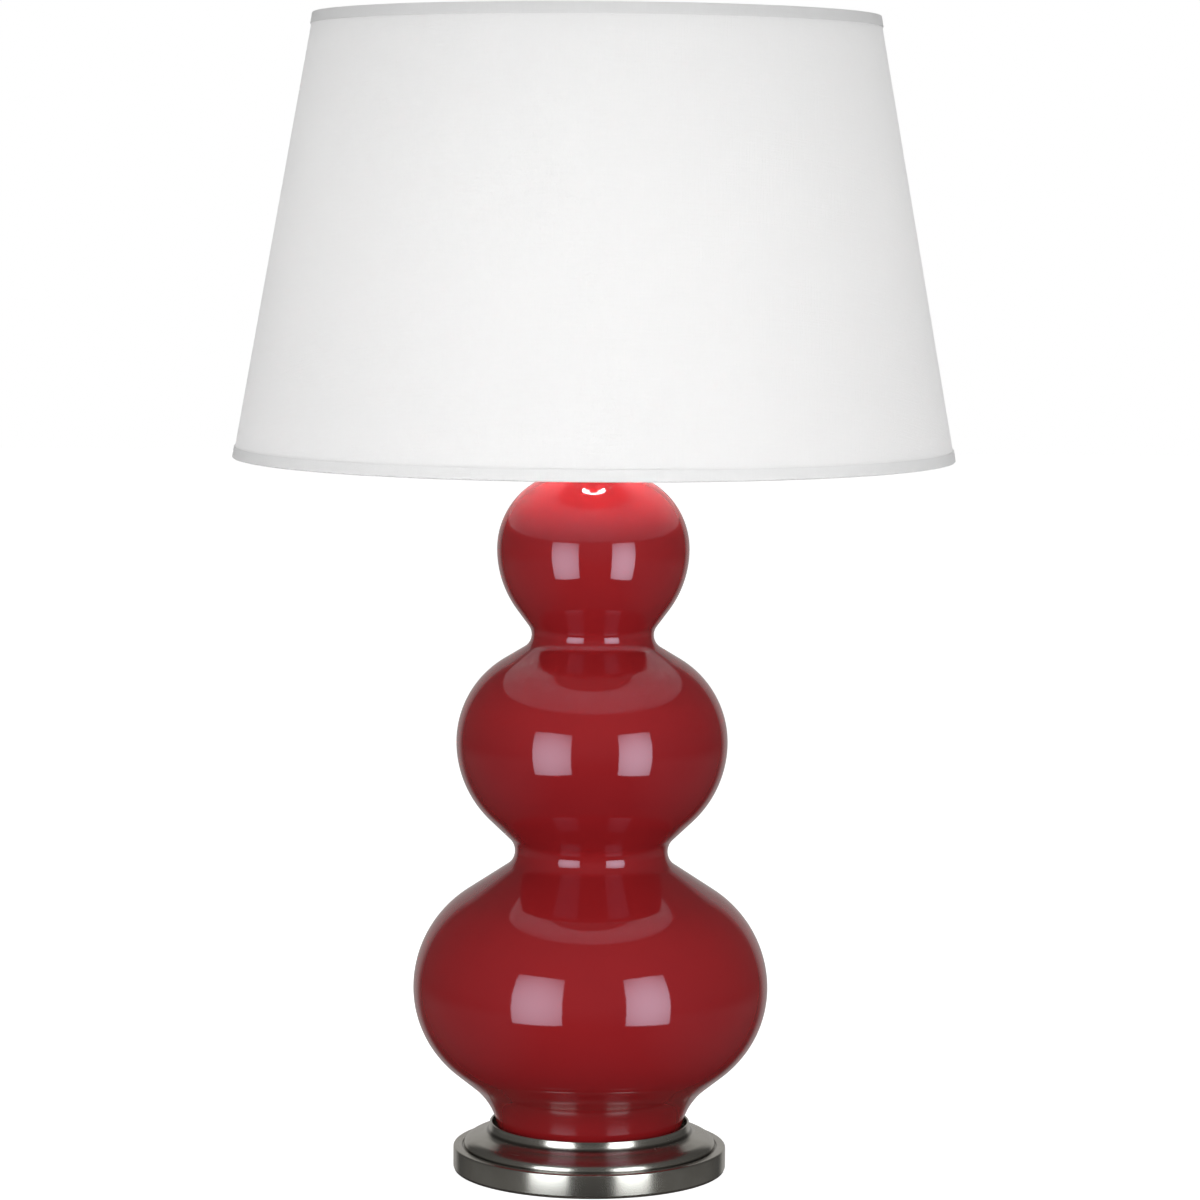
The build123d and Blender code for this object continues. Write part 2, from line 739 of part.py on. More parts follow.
def bulb_base():
    """The rolled metal cap of the bulb, with its cone to the insulator."""
    cone_z = bulb_z + bulb_tip_h + bulb_button_h
    wall_z = cone_z + bulb_cone_h
    top = wall_z + bulb_base_h
    r, t = bulb_base_r, bulb_base_t
    points = [
        (bulb_cone_r - t, cone_z), (bulb_cone_r, cone_z), (r, wall_z), (r, top), (r - t, top),
        (r - t, wall_z + t / 2), (bulb_cone_r - t, cone_z + t),
    ]
    return turned_corners(points)


def bulb_insulator():
    """The dark glass button between the bulb's cap and its tip."""
    z = bulb_z + bulb_tip_h
    top = z + bulb_button_h + insulator_in
    rim_r = bulb_cone_r - bulb_base_t
    points = [
        (0, z), (bulb_tip_r + insulator_lip, z), (rim_r, z + bulb_button_h),
        (rim_r - bulb_cement, top), (0, top),
    ]
    return turned_corners(points)


def bulb_tip():
    """The solder contact at the bottom of the bulb."""
    points = [
        (0, bulb_z), (bulb_tip_r * 0.7, bulb_z), (bulb_tip_r, bulb_z + bulb_tip_h),
        (0, bulb_z + bulb_tip_h),
    ]
    return turned_corners(points, [0, 1.0, 0, 0])


def shade_wall(first_inset, thickness):
    """One skin of the shade between the folds of its tapes."""
    first = tape_t + tape_clear
    last = slant_len - first
    corners = [
        shade_point(first, first_inset), shade_point(last, first_inset),
        shade_point(last, first_inset + thickness), shade_point(first, first_inset + thickness),
    ]
    return turned_corners(corners)


def shade_tape(from_bottom):
    """The tape folded over an edge and its ring: outer leg, fold and inner leg."""
    half = tape_t / 2
    deep = ring_inset + ring_wire_r + ring_clear + half

    def place(along, inset):
        return shade_point(along if from_bottom else slant_len - along, inset)

    path = FilletPolyline(
        place(tape_h, half), place(half, half), place(half, deep),
        place(ring_along + ring_wire_r * 0.4, deep), place(tape_turn_in, tape_t + wall_t + half),
        radius=[half + tape_clear, ring_wire_r + half, 1.0],
    )
    tape = revolve(Plane.XZ * trace(path, tape_t), Axis.Z)
    if from_bottom:
        return tape
    return tape - spider_arms(spider_wire_r + tape_slit)


def shade_ring(from_bottom):
    """A round wire ring inside the fold of a tape."""
    along = ring_along if from_bottom else slant_len - ring_along
    r, z = shade_point(along, ring_inset)
    return Pos(0, 0, z) * Torus(r, ring_wire_r)


def spider_arms(wire_r):
    """The bent arms that run from the washer out and up to the top ring."""
    ring_r, ring_z = shade_point(slant_len - ring_along, ring_inset)
    arm_z = washer_z + spider_washer_t + spider_wire_r - spider_weld
    path = FilletPolyline(
        (spider_start, arm_z), (ring_r - spider_rise_w, arm_z), (ring_r, ring_z), radius=spider_bend
    )
    start = Plane(origin=(spider_start, 0, arm_z), z_dir=(1, 0, 0))
    arm = sweep(start * Circle(wire_r), path=Wire((Plane.XZ * path).edges()))
    step = 360 / spider_arm_count
    return [Rot(0, 0, spider_first + number * step) * arm for number in range(spider_arm_count)]


def shade_spider():
    """The bent arms on the washer that sits on the harp, coped to the top ring's wire."""
    washer = flat_ring(stud_r + spider_clear, spider_washer_r, washer_z, spider_washer_t)
    return washer + spider_arms(spider_wire_r) - shade_ring(False)


def finial():
    """A turned knob whose foot holds the shade down on the stud."""
    z = washer_z + spider_washer_t + seat_clear
    hole_r = stud_r + finial_clear
    hole_top = shade_seat_z + stud_h + finial_hole_spare
    points = [
        (hole_r, z), (finial_foot_r, z), (finial_foot_r, z + finial_foot_h),
        (finial_neck_r, z + finial_cove_h), (finial_neck_r, z + finial_stem_h),
        (finial_ball_r, z + finial_ball_low), (finial_ball_r, z + finial_ball_high),
        (finial_tip_r, z + finial_tip_low), (finial_tip_r, z + finial_h), (0, z + finial_h),
        (0, hole_top), (hole_r, hole_top),
    ]
    return turned_corners(points, [0, 0.5, 0.7, 1.2, 2.4, 3.6, 4.4, 1.2, 1.2, 0, 0, 0])


def build():
    """Every piece of the lamp by its node's name."""
    return {
        "felt_pad": flat_ring(0, band_r - felt_inset, 0, felt_t),
        "base_pedestal": base_pedestal(),
        "cord_bushing": cord_bushing(),
        "seat_gasket": flat_ring(foot_r - foot_ring_w, foot_r - gasket_in, deck_z, gasket_t),
        "gourd_body": gourd_body(),
        "lamp_pipe": flat_ring(pipe_bore_r, pipe_r, pipe_z, pipe_top - pipe_z),
        "bottom_washer": flat_ring(pipe_r + thread_clear, washer_r, deck_z - base_wall - washer_t, washer_t),
        "lock_washer": lock_washer(),
        "bottom_nut": hex_nut(nut_z, nut_t),
        "vase_cap": vase_cap(),
        "neck": neck(),
        "harp_saddle": harp_saddle(),
        "saddle_nut": hex_nut(saddle_z + saddle_t, saddle_nut_t),
        "harp_wire": harp_wire(),
        "harp_sleeve_left": harp_sleeve(-harp_leg_x),
        "harp_sleeve_right": harp_sleeve(harp_leg_x),
        "harp_stud": harp_stud(),
        "socket_cap": socket_cap(),
        "socket_shell": socket_shell(),
        "socket_liner": socket_liner(),
        "socket_core": socket_core(),
        "terminal_screws": terminal_screws(),
        "screw_shell": screw_shell(),
        "centre_contact": centre_contact(),
        "switch_shaft": switch_shaft(),
        "switch_knob": switch_knob(),
        "bulb_glass": bulb_glass(),
        "bulb_base": bulb_base(),
        "bulb_insulator": bulb_insulator(),
        "bulb_tip": bulb_tip(),
        "shade_spider": shade_spider(),
        "shade_top_ring": shade_ring(False),
        "shade_bottom_ring": shade_ring(True),
        "shade_lining": shade_wall(tape_t + fabric_t, lining_t),
        "shade_fabric": shade_wall(tape_t, fabric_t),
        "shade_top_tape": shade_tape(False),
        "shade_bottom_tape": shade_tape(True),
        "finial": finial(),
    }


os.makedirs("parts", exist_ok=True)
for name, piece in build().items():
    export_step(piece, f"parts/{name}.step")
    print(name, len(piece.solids()), "solid", round(piece.volume / 1000, 2), "cm3")
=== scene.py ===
# %% [markdown]
# # A triple gourd table lamp
#
# This lesson dresses a packed lamp: a glazed ceramic body of three stacked lobes on a turned
# metal base, with a lined linen shade on a wire harp. The hard pieces come from the packed
# model as they are. Blender adds what that model can't hold: the glaze, the cloth, the worn
# metal, the light inside the shade and the studio around it.
#
# The imported model is loaded first, because every new piece is placed in its frame: metres, +Z up the lamp's
# axis, the front at -Y.

# %% Load the imported lamp
import math

import bpy
import numpy as np
from mathutils import Matrix, Vector


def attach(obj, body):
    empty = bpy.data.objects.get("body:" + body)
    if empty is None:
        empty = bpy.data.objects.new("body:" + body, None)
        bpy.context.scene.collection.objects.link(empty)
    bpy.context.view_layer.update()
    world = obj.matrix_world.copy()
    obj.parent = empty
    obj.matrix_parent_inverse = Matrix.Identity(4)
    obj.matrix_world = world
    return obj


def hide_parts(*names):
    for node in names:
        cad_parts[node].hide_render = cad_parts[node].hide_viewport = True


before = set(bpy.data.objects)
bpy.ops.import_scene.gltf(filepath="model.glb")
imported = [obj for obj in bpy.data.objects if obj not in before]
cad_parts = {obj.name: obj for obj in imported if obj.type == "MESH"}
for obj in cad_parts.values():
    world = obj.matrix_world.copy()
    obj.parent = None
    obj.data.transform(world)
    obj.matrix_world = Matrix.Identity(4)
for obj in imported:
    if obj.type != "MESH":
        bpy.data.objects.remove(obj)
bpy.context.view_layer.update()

# %% [markdown]
# ## The camera
#
# A product picture like this is taken from far away with a long lens, so that the two rims of
# the shade look almost alike. The numbers come from the ellipses that the rims and the base
# make in the picture. The camera could be aimed with a constraint, but a pitch and a small
# roll, written into its matrix, hold exactly and leave nothing to update.

# %% Place the camera
sensor = 36.0
lens = sensor * 4107.8 / 1200
camera_place = Vector((0.0047, -2.7456, 0.6536))
pitch, roll = math.radians(5.535), math.radians(0.40)

forward = Vector((0, math.cos(pitch), -math.sin(pitch)))
level_up = Vector((0, math.sin(pitch), math.cos(pitch)))
across = Vector((1, 0, 0)) * math.cos(roll) + level_up * math.sin(roll)
up = level_up * math.cos(roll) - Vector((1, 0, 0)) * math.sin(roll)

camera = bpy.data.objects.new("camera", bpy.data.cameras.new("camera"))
bpy.context.scene.collection.objects.link(camera)
camera.data.sensor_width, camera.data.lens = sensor, lens
turned_to = Matrix((across, up, -forward)).transposed().to_4x4()
camera.matrix_world = Matrix.Translation(camera_place) @ turned_to
bpy.context.scene.camera = camera
bpy.context.scene.view_settings.view_transform = "Standard"
print("lens", round(lens, 1), "mm, from", round(camera_place.length, 2), "m")

# %% [markdown]
# ## Helpers for node trees
#
# Every finish below is a small tree of shader nodes. Adding a node, setting its sockets and
# linking it takes three lines each time, so `put` does the first two and `join` the last.
# `sums` and `hypot` do the same for arithmetic.

# %% Helpers for node trees
def put(tree, kind, values=None, **options):
    """Adds a shader node, sets its options by attribute and its sockets by name or number."""
    made = tree.nodes.new("ShaderNode" + kind)
    for option, value in options.items():
        setattr(made, option, value)
    for socket, value in (values or {}).items():
        made.inputs[socket].default_value = value
    return made


def join(tree, source, target):
    tree.links.new(source, target)


def sums(tree, operation, a, b=0, clamp=False):
    """A Math node on one or two values, each a socket or a plain number."""
    made = put(tree, "Math", operation=operation, use_clamp=clamp)
    for index, value in enumerate((a, b)):
        if isinstance(value, (int, float)):
            made.inputs[index].default_value = value
        else:
            join(tree, value, made.inputs[index])
    return made.outputs[0]


def hypot(tree, a, b):
    """The length of a line that goes by a one way and by b the other."""
    return sums(tree, "SQRT", sums(tree, "ADD", sums(tree, "MULTIPLY", a, a), sums(tree, "MULTIPLY", b, b)))


# %% [markdown]
# ## The studio
#
# The picture has a white surround, two soft boxes in front of the lamp and a dark room around
# them. The glaze shows each of these. The pale sheet behind the lamp gives the thin grey rims
# of the lobes, the dark room gives the deep red between the soft boxes.
#
# The world does this with the direction's Y and Z for shiny surfaces, a plain grey for matt
# ones and white for the camera. The room fades from the front to the sides and towards the
# floor, the table shows paler at both sides of the lamp, and the pale sheet starts about 30
# degrees from straight behind it.

# %% The room around the lamp
room = bpy.data.worlds.new("studio")
bpy.context.scene.world = room
room.use_nodes = True
tree = room.node_tree
tree.nodes.clear()
ray = put(tree, "LightPath")
direction = put(tree, "SeparateXYZ")
join(tree, put(tree, "TexCoord").outputs["Generated"], direction.inputs[0])
dim_room = put(tree, "MapRange", {"From Min": -0.6, "From Max": 0.75, "To Min": 0.155, "To Max": 0.09})
join(tree, direction.outputs["Y"], dim_room.inputs["Value"])
to_floor = put(tree, "MapRange", {"From Min": -0.30, "From Max": 0.0, "To Min": 0.35, "To Max": 1.0})
join(tree, direction.outputs["Z"], to_floor.inputs["Value"])
beside = put(tree, "MapRange", {"From Min": 0.45, "From Max": 0.85})
join(tree, sums(tree, "ABSOLUTE", direction.outputs["X"]), beside.inputs["Value"])
low = put(tree, "MapRange", {"From Min": -0.10, "From Max": -0.22, "To Max": 0.12})
join(tree, direction.outputs["Z"], low.inputs["Value"])
table = sums(tree, "MULTIPLY", beside.outputs["Result"], low.outputs["Result"])
pale_sheet = put(tree, "MapRange", {"From Min": 0.78, "From Max": 0.90, "To Min": 0.0, "To Max": 0.36},
                 interpolation_type="SMOOTHSTEP")
join(tree, direction.outputs["Y"], pale_sheet.inputs["Value"])
mirrored_room = sums(tree, "MULTIPLY", dim_room.outputs["Result"], to_floor.outputs["Result"])
mirrored_room = sums(tree, "ADD", sums(tree, "ADD", mirrored_room, table), pale_sheet.outputs["Result"])

white = put(tree, "Background", {"Color": (1, 1, 1, 1), "Strength": 1.0})
shown_in_gloss = put(tree, "Background", {"Color": (1, 0.98, 0.95, 1)})
join(tree, mirrored_room, shown_in_gloss.inputs["Strength"])
on_matt = put(tree, "Background", {"Color": (1, 1, 1, 1), "Strength": 0.34})

mirrored = sums(tree, "MAXIMUM", ray.outputs["Is Glossy Ray"], ray.outputs["Is Transmission Ray"])
seen_in_lamp = put(tree, "MixShader")
join(tree, mirrored, seen_in_lamp.inputs[0])
join(tree, on_matt.outputs[0], seen_in_lamp.inputs[1])
join(tree, shown_in_gloss.outputs[0], seen_in_lamp.inputs[2])
seen = put(tree, "MixShader")
join(tree, ray.outputs["Is Camera Ray"], seen.inputs[0])
join(tree, seen_in_lamp.outputs[0], seen.inputs[1])
join(tree, white.outputs[0], seen.inputs[2])
join(tree, seen.outputs[0], put(tree, "OutputWorld").inputs[0])
print("room:", len(tree.nodes), "nodes")

# %% [markdown]
# The floor is a pale matt sheet. A part of its brightness is its own, for the camera alone, so
# it reads as white while the lamp's soft shadow still shows. Shiny surfaces don't see it:
# the soft boxes of the picture reach below the lamp's foot, and a floor would hide that half.
# From below it's clear, so that the lamp can be looked at from there too, and it lies a hair
# under the felt, because two faces in one plane would flicker.

# %% The floor
bpy.ops.object.select_all(action="DESELECT")
floor_gap = 0.0002
bpy.ops.mesh.primitive_plane_add(size=16.0, location=(0, 0, -floor_gap))
floor = bpy.context.object
floor.name = "floor"
floor.visible_glossy = False

pale = bpy.data.materials.new("pale_floor")
pale.use_nodes = True
tree = pale.node_tree
tree.nodes.clear()
matt = put(tree, "BsdfDiffuse", {"Color": (0.5, 0.5, 0.5, 1)})
glow = put(tree, "Emission", {"Color": (1, 1, 1, 1)})
join(tree, sums(tree, "MULTIPLY", put(tree, "LightPath").outputs["Is Camera Ray"], 0.88),
     glow.inputs["Strength"])
both = put(tree, "AddShader")
join(tree, matt.outputs[0], both.inputs[0])
join(tree, glow.outputs[0], both.inputs[1])
shown = put(tree, "MixShader")
join(tree, put(tree, "NewGeometry").outputs["Backfacing"], shown.inputs[0])
join(tree, both.outputs[0], shown.inputs[1])
join(tree, put(tree, "BsdfTransparent").outputs[0], shown.inputs[2])
join(tree, shown.outputs[0], put(tree, "OutputMaterial").inputs["Surface"])
floor.data.materials.append(pale)
print("floor:", tuple(round(v, 1) for v in floor.dimensions))

# %% [markdown]
# The lamps of the studio are two soft boxes, 1.1 m from the lamp at its left and right front.
# Where the three lobes mirror their edges gives their place: the same edge seen from three
# heights. An area light would serve for both light and mirror image, but its face is evenly
# bright. A real soft box is brightest a little above its middle and fades to its edges. So
# each box is an area light for matt surfaces, and a glowing sheet in the same place that only
# shiny surfaces see. One lobe also mirrors what the next one mirrors. A real glaze blurs such
# a second image away, so the sheets are dimmer there. A third light, overhead, stands for the
# white ceiling.

# %% Soft boxes for light, and their mirror images for gloss
box_far, box_low, box_high = 1.1, -0.20, 0.71
second_image_loss = 0.55


def soft_box(name, place, turn, width, height, watts):
    lamp = bpy.data.objects.new(name, bpy.data.lights.new(name, "AREA"))
    bpy.context.scene.collection.objects.link(lamp)
    lamp.data.shape, lamp.data.size, lamp.data.size_y = "RECTANGLE", width, height
    lamp.data.energy = watts
    lamp.location, lamp.rotation_euler = place, turn
    lamp.visible_glossy = False
    return lamp


def gleam_finish(name, strength):
    """A glow that fades from a point above the sheet's middle, seen from the front only."""
    made = bpy.data.materials.new(name)
    made.use_nodes = True
    tree = made.node_tree
    tree.nodes.clear()
    spot = put(tree, "SeparateXYZ")
    join(tree, put(tree, "TexCoord").outputs["UV"], spot.inputs[0])
    edge, fall = None, 1.0
    for axis, middle, loss in (("X", 0.5, 1.0), ("Y", 0.58, 1.5)):
        off = sums(tree, "ABSOLUTE", sums(tree, "SUBTRACT", spot.outputs[axis], 0.5))
        fade = put(tree, "MapRange", {"From Min": 0.5, "From Max": 0.47, "To Min": 0.0, "To Max": 1.0},
                   interpolation_type="SMOOTHSTEP")
        join(tree, off, fade.inputs["Value"])
        edge = fade.outputs[0] if edge is None else sums(tree, "MULTIPLY", edge, fade.outputs[0])
        away = sums(tree, "SUBTRACT", spot.outputs[axis], middle)
        lost = sums(tree, "MULTIPLY", sums(tree, "MULTIPLY", away, away), loss)
        fall = sums(tree, "SUBTRACT", fall, lost)
    front_only = sums(tree, "SUBTRACT", 1.0, put(tree, "NewGeometry").outputs["Backfacing"])
    edge = sums(tree, "MULTIPLY", edge, front_only)
    again = sums(tree, "GREATER_THAN", put(tree, "LightPath").outputs["Glossy Depth"], 1.5)
    dimmed = sums(tree, "MULTIPLY", again, second_image_loss)
    fall = sums(tree, "MULTIPLY", fall, sums(tree, "SUBTRACT", 1.0, dimmed))
    glow = put(tree, "Emission", {"Color": (0.93, 0.97, 1.0, 1)})
    join(tree, sums(tree, "MULTIPLY", fall, strength), glow.inputs["Strength"])
    shown = put(tree, "MixShader")
    join(tree, edge, shown.inputs[0])
    join(tree, put(tree, "BsdfTransparent").outputs[0], shown.inputs[1])
    join(tree, glow.outputs[0], shown.inputs[2])
    join(tree, shown.outputs[0], put(tree, "OutputMaterial").inputs["Surface"])
    return made


for side, first, last, strength, watts in [("left", -49.5, -16.3, 5.3, 7.3),
                                           ("right", 21.4, 50.4, 6.0, 7.2)]:
    azimuth = math.radians((first + last) / 2)
    wide = 2 * box_far * math.tan(math.radians(last - first) / 2)
    place = (box_far * math.sin(azimuth), -box_far * math.cos(azimuth), (box_low + box_high) / 2)
    soft_box("soft_box_" + side, place, (math.radians(90), 0, azimuth), wide, box_high - box_low, watts)
    bpy.ops.object.select_all(action="DESELECT")
    bpy.ops.mesh.primitive_plane_add(size=1, location=place)
    gleam_sheet = bpy.context.object
    gleam_sheet.name = "gleam_" + side
    gleam_sheet.scale = (wide, box_high - box_low, 1)
    gleam_sheet.rotation_euler = (math.radians(-90), 0, azimuth)
    gleam_sheet.data.materials.append(gleam_finish("gleam_" + side, strength))
    gleam_sheet.visible_camera = gleam_sheet.visible_diffuse = gleam_sheet.visible_shadow = False
    gleam_sheet.visible_transmission = False
    print("soft box", side, "is", round(wide, 2), "by", round(box_high - box_low, 2), "m")

soft_box("ceiling", (0, 0, 2.6), (0, 0, 0), 2.2, 2.2, 17)

# %% [markdown]
# ## Helpers for finishes
#
# A finish starts as a Principled surface with its plain values set on its own sockets, because
# those carry over to other programs. What changes over the surface is then added with nodes:
# a colour, a roughness or a height for a Bump node.

# %% Helpers for finishes
def plain_finish(name, color, rough, metal=0.0, **more):
    """A Principled material with plain values: its tree and its surface come back too."""
    made = bpy.data.materials.new(name)
    made.use_nodes = True
    surface = made.node_tree.nodes["Principled BSDF"]
    surface.inputs["Base Color"].default_value = (*color, 1)
    surface.inputs["Roughness"].default_value = rough
    surface.inputs["Metallic"].default_value = metal
    for socket, value in more.items():
        surface.inputs[socket.replace("_", " ")].default_value = value
    return made, made.node_tree, surface


def mixed_color(tree, factor, first, second):
    """A colour that goes from the first to the second as the factor goes from 0 to 1."""
    made = put(tree, "Mix", data_type="RGBA")
    join(tree, factor, made.inputs["Factor"])
    for socket, value in ((6, first), (7, second)):
        if isinstance(value, tuple):
            made.inputs[socket].default_value = (*value, 1)
        else:
            join(tree, value, made.inputs[socket])
    return made.outputs[2]


def spread(tree, value, low, high, to_low=0.0, to_high=1.0):
    """Stretches a range of a value to another range, and clamps it."""
    made = put(tree, "MapRange", {"From Min": low, "From Max": high, "To Min": to_low, "To Max": to_high})
    join(tree, value, made.inputs["Value"])
    return made.outputs["Result"]


def noise(tree, place, scale, detail=2.0, rough=0.5):
    made = put(tree, "TexNoise", {"Scale": scale, "Detail": detail, "Roughness": rough})
    join(tree, place, made.inputs["Vector"])
    return made.outputs["Fac"]


def bump(tree, surface, height, distance, strength=1.0):
    made = put(tree, "Bump", {"Strength": strength, "Distance": distance})
    join(tree, height, made.inputs["Height"])
    join(tree, made.outputs["Normal"], surface.inputs["Normal"])
    return made


def dress(finish, *nodes):
    """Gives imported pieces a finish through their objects' material slots."""
    for node in nodes:
        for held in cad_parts[node].material_slots:
            held.material = finish


print("helpers for finishes are ready")

# %% [markdown]
# ## Turning a piece from its outline
#
# The body, the base and the shade are all round. On the real lamp the base is turned on a
# lathe and the body is cast in a mould that was turned. A modeller can push rings up from a
# circle, or draw half the outline once and spin it. Spinning keeps the outline in one list of
# numbers, so it is used for every round piece.
#
# `turned` draws the outline by extruding one corner after another, then spins it.

# %% Helpers for turned pieces
mm = 0.001


def deselected():
    if bpy.context.object and bpy.context.object.mode != "OBJECT":
        bpy.ops.object.mode_set(mode="OBJECT")
    bpy.ops.object.select_all(action="DESELECT")


def turned(name, outline, steps, start=0.0, sweep=360.0, closed=False):
    """Spins an outline of (radius, height) in millimetres about the lamp's axis."""
    deselected()
    bpy.ops.mesh.primitive_plane_add(size=mm, location=(0, 0, 0))
    made = bpy.context.object
    made.name = made.data.name = name
    bpy.ops.object.mode_set(mode="EDIT")
    bpy.ops.mesh.merge(type="CENTER")
    bpy.ops.transform.translate(value=(outline[0][0] * mm, 0, outline[0][1] * mm))
    for (r0, z0), (r1, z1) in zip(outline, outline[1:]):
        step = ((r1 - r0) * mm, 0, (z1 - z0) * mm)
        bpy.ops.mesh.extrude_region_move(TRANSFORM_OT_translate={"value": step})
    bpy.ops.mesh.select_all(action="SELECT")
    if closed:
        bpy.ops.mesh.remove_doubles(threshold=1e-7)
    if start:
        bpy.ops.transform.rotate(value=-math.radians(start), orient_axis="Z", center_override=(0, 0, 0))
    bpy.ops.mesh.spin(steps=steps, angle=math.radians(sweep), center=(0, 0, 0), axis=(0, 0, 1))
    bpy.ops.mesh.select_all(action="SELECT")
    if sweep == 360.0:
        bpy.ops.mesh.remove_doubles(threshold=1e-6)
    bpy.ops.mesh.normals_make_consistent(inside=False)
    bpy.ops.object.mode_set(mode="OBJECT")
    bpy.ops.object.shade_smooth()
    return made


def rounded(corners, fine=7):
    """The points of an outline whose corners are each ((radius, height), rounding)."""
    points = []
    for index, (corner, r) in enumerate(corners):
        here = Vector(corner)
        if r == 0 or index in (0, len(corners) - 1):
            points.append(tuple(here))
            continue
        back = (Vector(corners[index - 1][0]) - here).normalized()
        on = (Vector(corners[index + 1][0]) - here).normalized()
        half = math.acos(max(-1.0, min(1.0, back.dot(on)))) / 2
        middle = here + (back + on).normalized() * (r / math.sin(half))
        first = (here + back * (r / math.tan(half)) - middle).normalized()
        last = (here + on * (r / math.tan(half)) - middle).normalized()
        for part in range(fine + 1):
            points.append(tuple(middle + first.slerp(last, part / fine).normalized() * r))
    return points


print("helpers for turned pieces are ready")

# %% [markdown]
# ## The ceramic body
#
# The body is slip cast: liquid clay poured into a plaster mould, then glazed and fired. Its
# outline is a chain of arcs, each running smoothly into the next. Rings with subdivision
# would need many loops to hold those arcs, so the arcs themselves give the outline's points.
# Each arc is a centre and a signed radius, and two neighbours share the normal where they
# meet. The waists and the foot, whose radius is negative, get twice the points, because they
# shrink what they mirror. The inside is the same chain, one wall further in.

# %% Outline of the ceramic
foot_z = 20.0
wall, floor_wall, mouth_r = 6.0, 8.0, 17.0


def belly(radius, height, arc):
    return radius - arc, foot_z + height, arc


def hollow(radius, height, arc):
    return radius + arc, foot_z + height, -arc


ceramic_arcs = [
    hollow(61.4, -1.15, 49.9),
    belly(119.9, 104.5, 72.3), belly(119.9, 104.5, 76.6), hollow(51.6, 197.4, 12.3),
    belly(91.4, 271.6, 72.3), belly(91.4, 271.6, 64.9), hollow(41.1, 344.3, 10.1),
    belly(64.6, 402.05, 68.8), belly(64.6, 402.05, 51.9),
]


def shared_normal(first, second):
    gap = math.dist(first[:2], second[:2])
    if gap < 1e-9:
        return 0.0
    lean = max(-1.0, min(1.0, (first[2] - second[2]) / gap))
    return math.atan2(second[1] - first[1], second[0] - first[0]) - math.acos(lean)


def ceramic_line(bottom, inset, fineness):
    """Points from a height up to the mouth, set in by a wall."""
    foot, crown = ceramic_arcs[0], ceramic_arcs[-1]
    angles = [math.asin((bottom - foot[1]) / (foot[2] - inset))]
    angles += [shared_normal(a, b) for a, b in zip(ceramic_arcs, ceramic_arcs[1:])]
    angles += [math.acos((mouth_r - crown[0]) / (crown[2] - inset))]
    points = []
    for (x, z, r), start, end in zip(ceramic_arcs, angles, angles[1:]):
        finer = 2 if r < 0 else 1
        count = max(3, int(abs((r - inset) * (end - start)) / fineness * finer))
        for part in range(count + 1):
            t = start + (end - start) * part / count
            points.append((x + (r - inset) * math.cos(t), z + (r - inset) * math.sin(t)))
    return [p for p, q in zip(points, points[1:]) if math.dist(p, q) > 1e-6] + [points[-1]]


outside = ceramic_line(foot_z, 0.0, 3.2)
inside = ceramic_line(foot_z + floor_wall, wall, 9.0)
underside = [(7.0, foot_z + floor_wall), (7.0, foot_z + 3.0), (52.4, foot_z + 3.0), (52.4, foot_z)]
ceramic_outline = outside + inside[::-1] + underside + [outside[0]]
print("ceramic outline:", len(ceramic_outline), "points")

# %% [markdown]
# The closed outline, wall and all, is spun into one watertight piece. Fewer steps would do for
# the shape, but the glaze is a mirror and shows every flat, so there are 224.

# %% Spin the ceramic
ceramic = turned("ceramic_body", ceramic_outline, 224, closed=True)
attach(ceramic, "lamp")
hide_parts("gourd_body")
print("ceramic:", len(ceramic.data.polygons), "faces")

# %% [markdown]
# ## The red glaze
#
# A copper or selenium red is a thick glossy glass over pale clay. Its colour is painted darker under each
# lobe and lighter on the shoulders, as painted shade where the lobes turn away from the light above. Up close
# the surface has a faint orange peel. A painted texture would need a map, so a ramp by height paints that
# shade and noise on the piece's own coordinates does the rest: wide and weak for clouds in the colour, fine
# and very shallow for the peel. Its reflections lean a little to lilac.

# %% Glaze
glaze, tree, surface = plain_finish("red_glaze", (0.245, 0.011, 0.013), 0.045, IOR=1.6,
                                    Specular_Tint=(0.85, 0.82, 1.0, 1))
place = put(tree, "TexCoord").outputs["Object"]
cloud = noise(tree, place, 9.0, 4.0, 0.55)
fleck = noise(tree, place, 420.0, 2.0, 0.5)
parts = put(tree, "SeparateXYZ")
join(tree, place, parts.inputs[0])
# Painted shade: this ramp by height darkens the red under each lobe and lightens it on the shoulders.
level = put(tree, "ValToRGB")
join(tree, spread(tree, parts.outputs["Z"], 0.02, 0.48), level.inputs[0])
ramp = level.color_ramp
stops = [(0.0, 1.0), (0.06, 0.95), (0.13, 0.65), (0.21, 0.80), (0.30, 0.95), (0.40, 0.95), (0.46, 0.82),
         (0.52, 0.42), (0.56, 0.55), (0.63, 0.95), (0.75, 1.0), (0.81, 0.88), (0.87, 1.0), (1.0, 1.0)]
while len(ramp.elements) < len(stops):
    ramp.elements.new(0.5)
for element, (at, bright) in zip(ramp.elements, stops):
    element.position, element.color = at, (bright, bright, bright, 1)
painted_lobe_shading = mixed_color(tree, level.outputs["Color"], (0.165, 0.006, 0.009), (0.268, 0.012, 0.0135))
clouded = mixed_color(tree, spread(tree, cloud, 0.35, 0.7), painted_lobe_shading, (0.235, 0.010, 0.0125))
speckled = mixed_color(tree, spread(tree, fleck, 0.72, 0.80, 0.0, 0.25), clouded, (0.12, 0.006, 0.010))
join(tree, speckled, surface.inputs["Base Color"])
join(tree, spread(tree, noise(tree, place, 60.0, 3.0), 0.3, 0.75, 0.025, 0.06), surface.inputs["Roughness"])
peel = noise(tree, place, 260.0, 1.0, 0.4)
bump(tree, surface, peel, 0.00003, 0.35)
ceramic.data.materials.append(glaze)
print("glaze:", len(tree.nodes), "nodes")

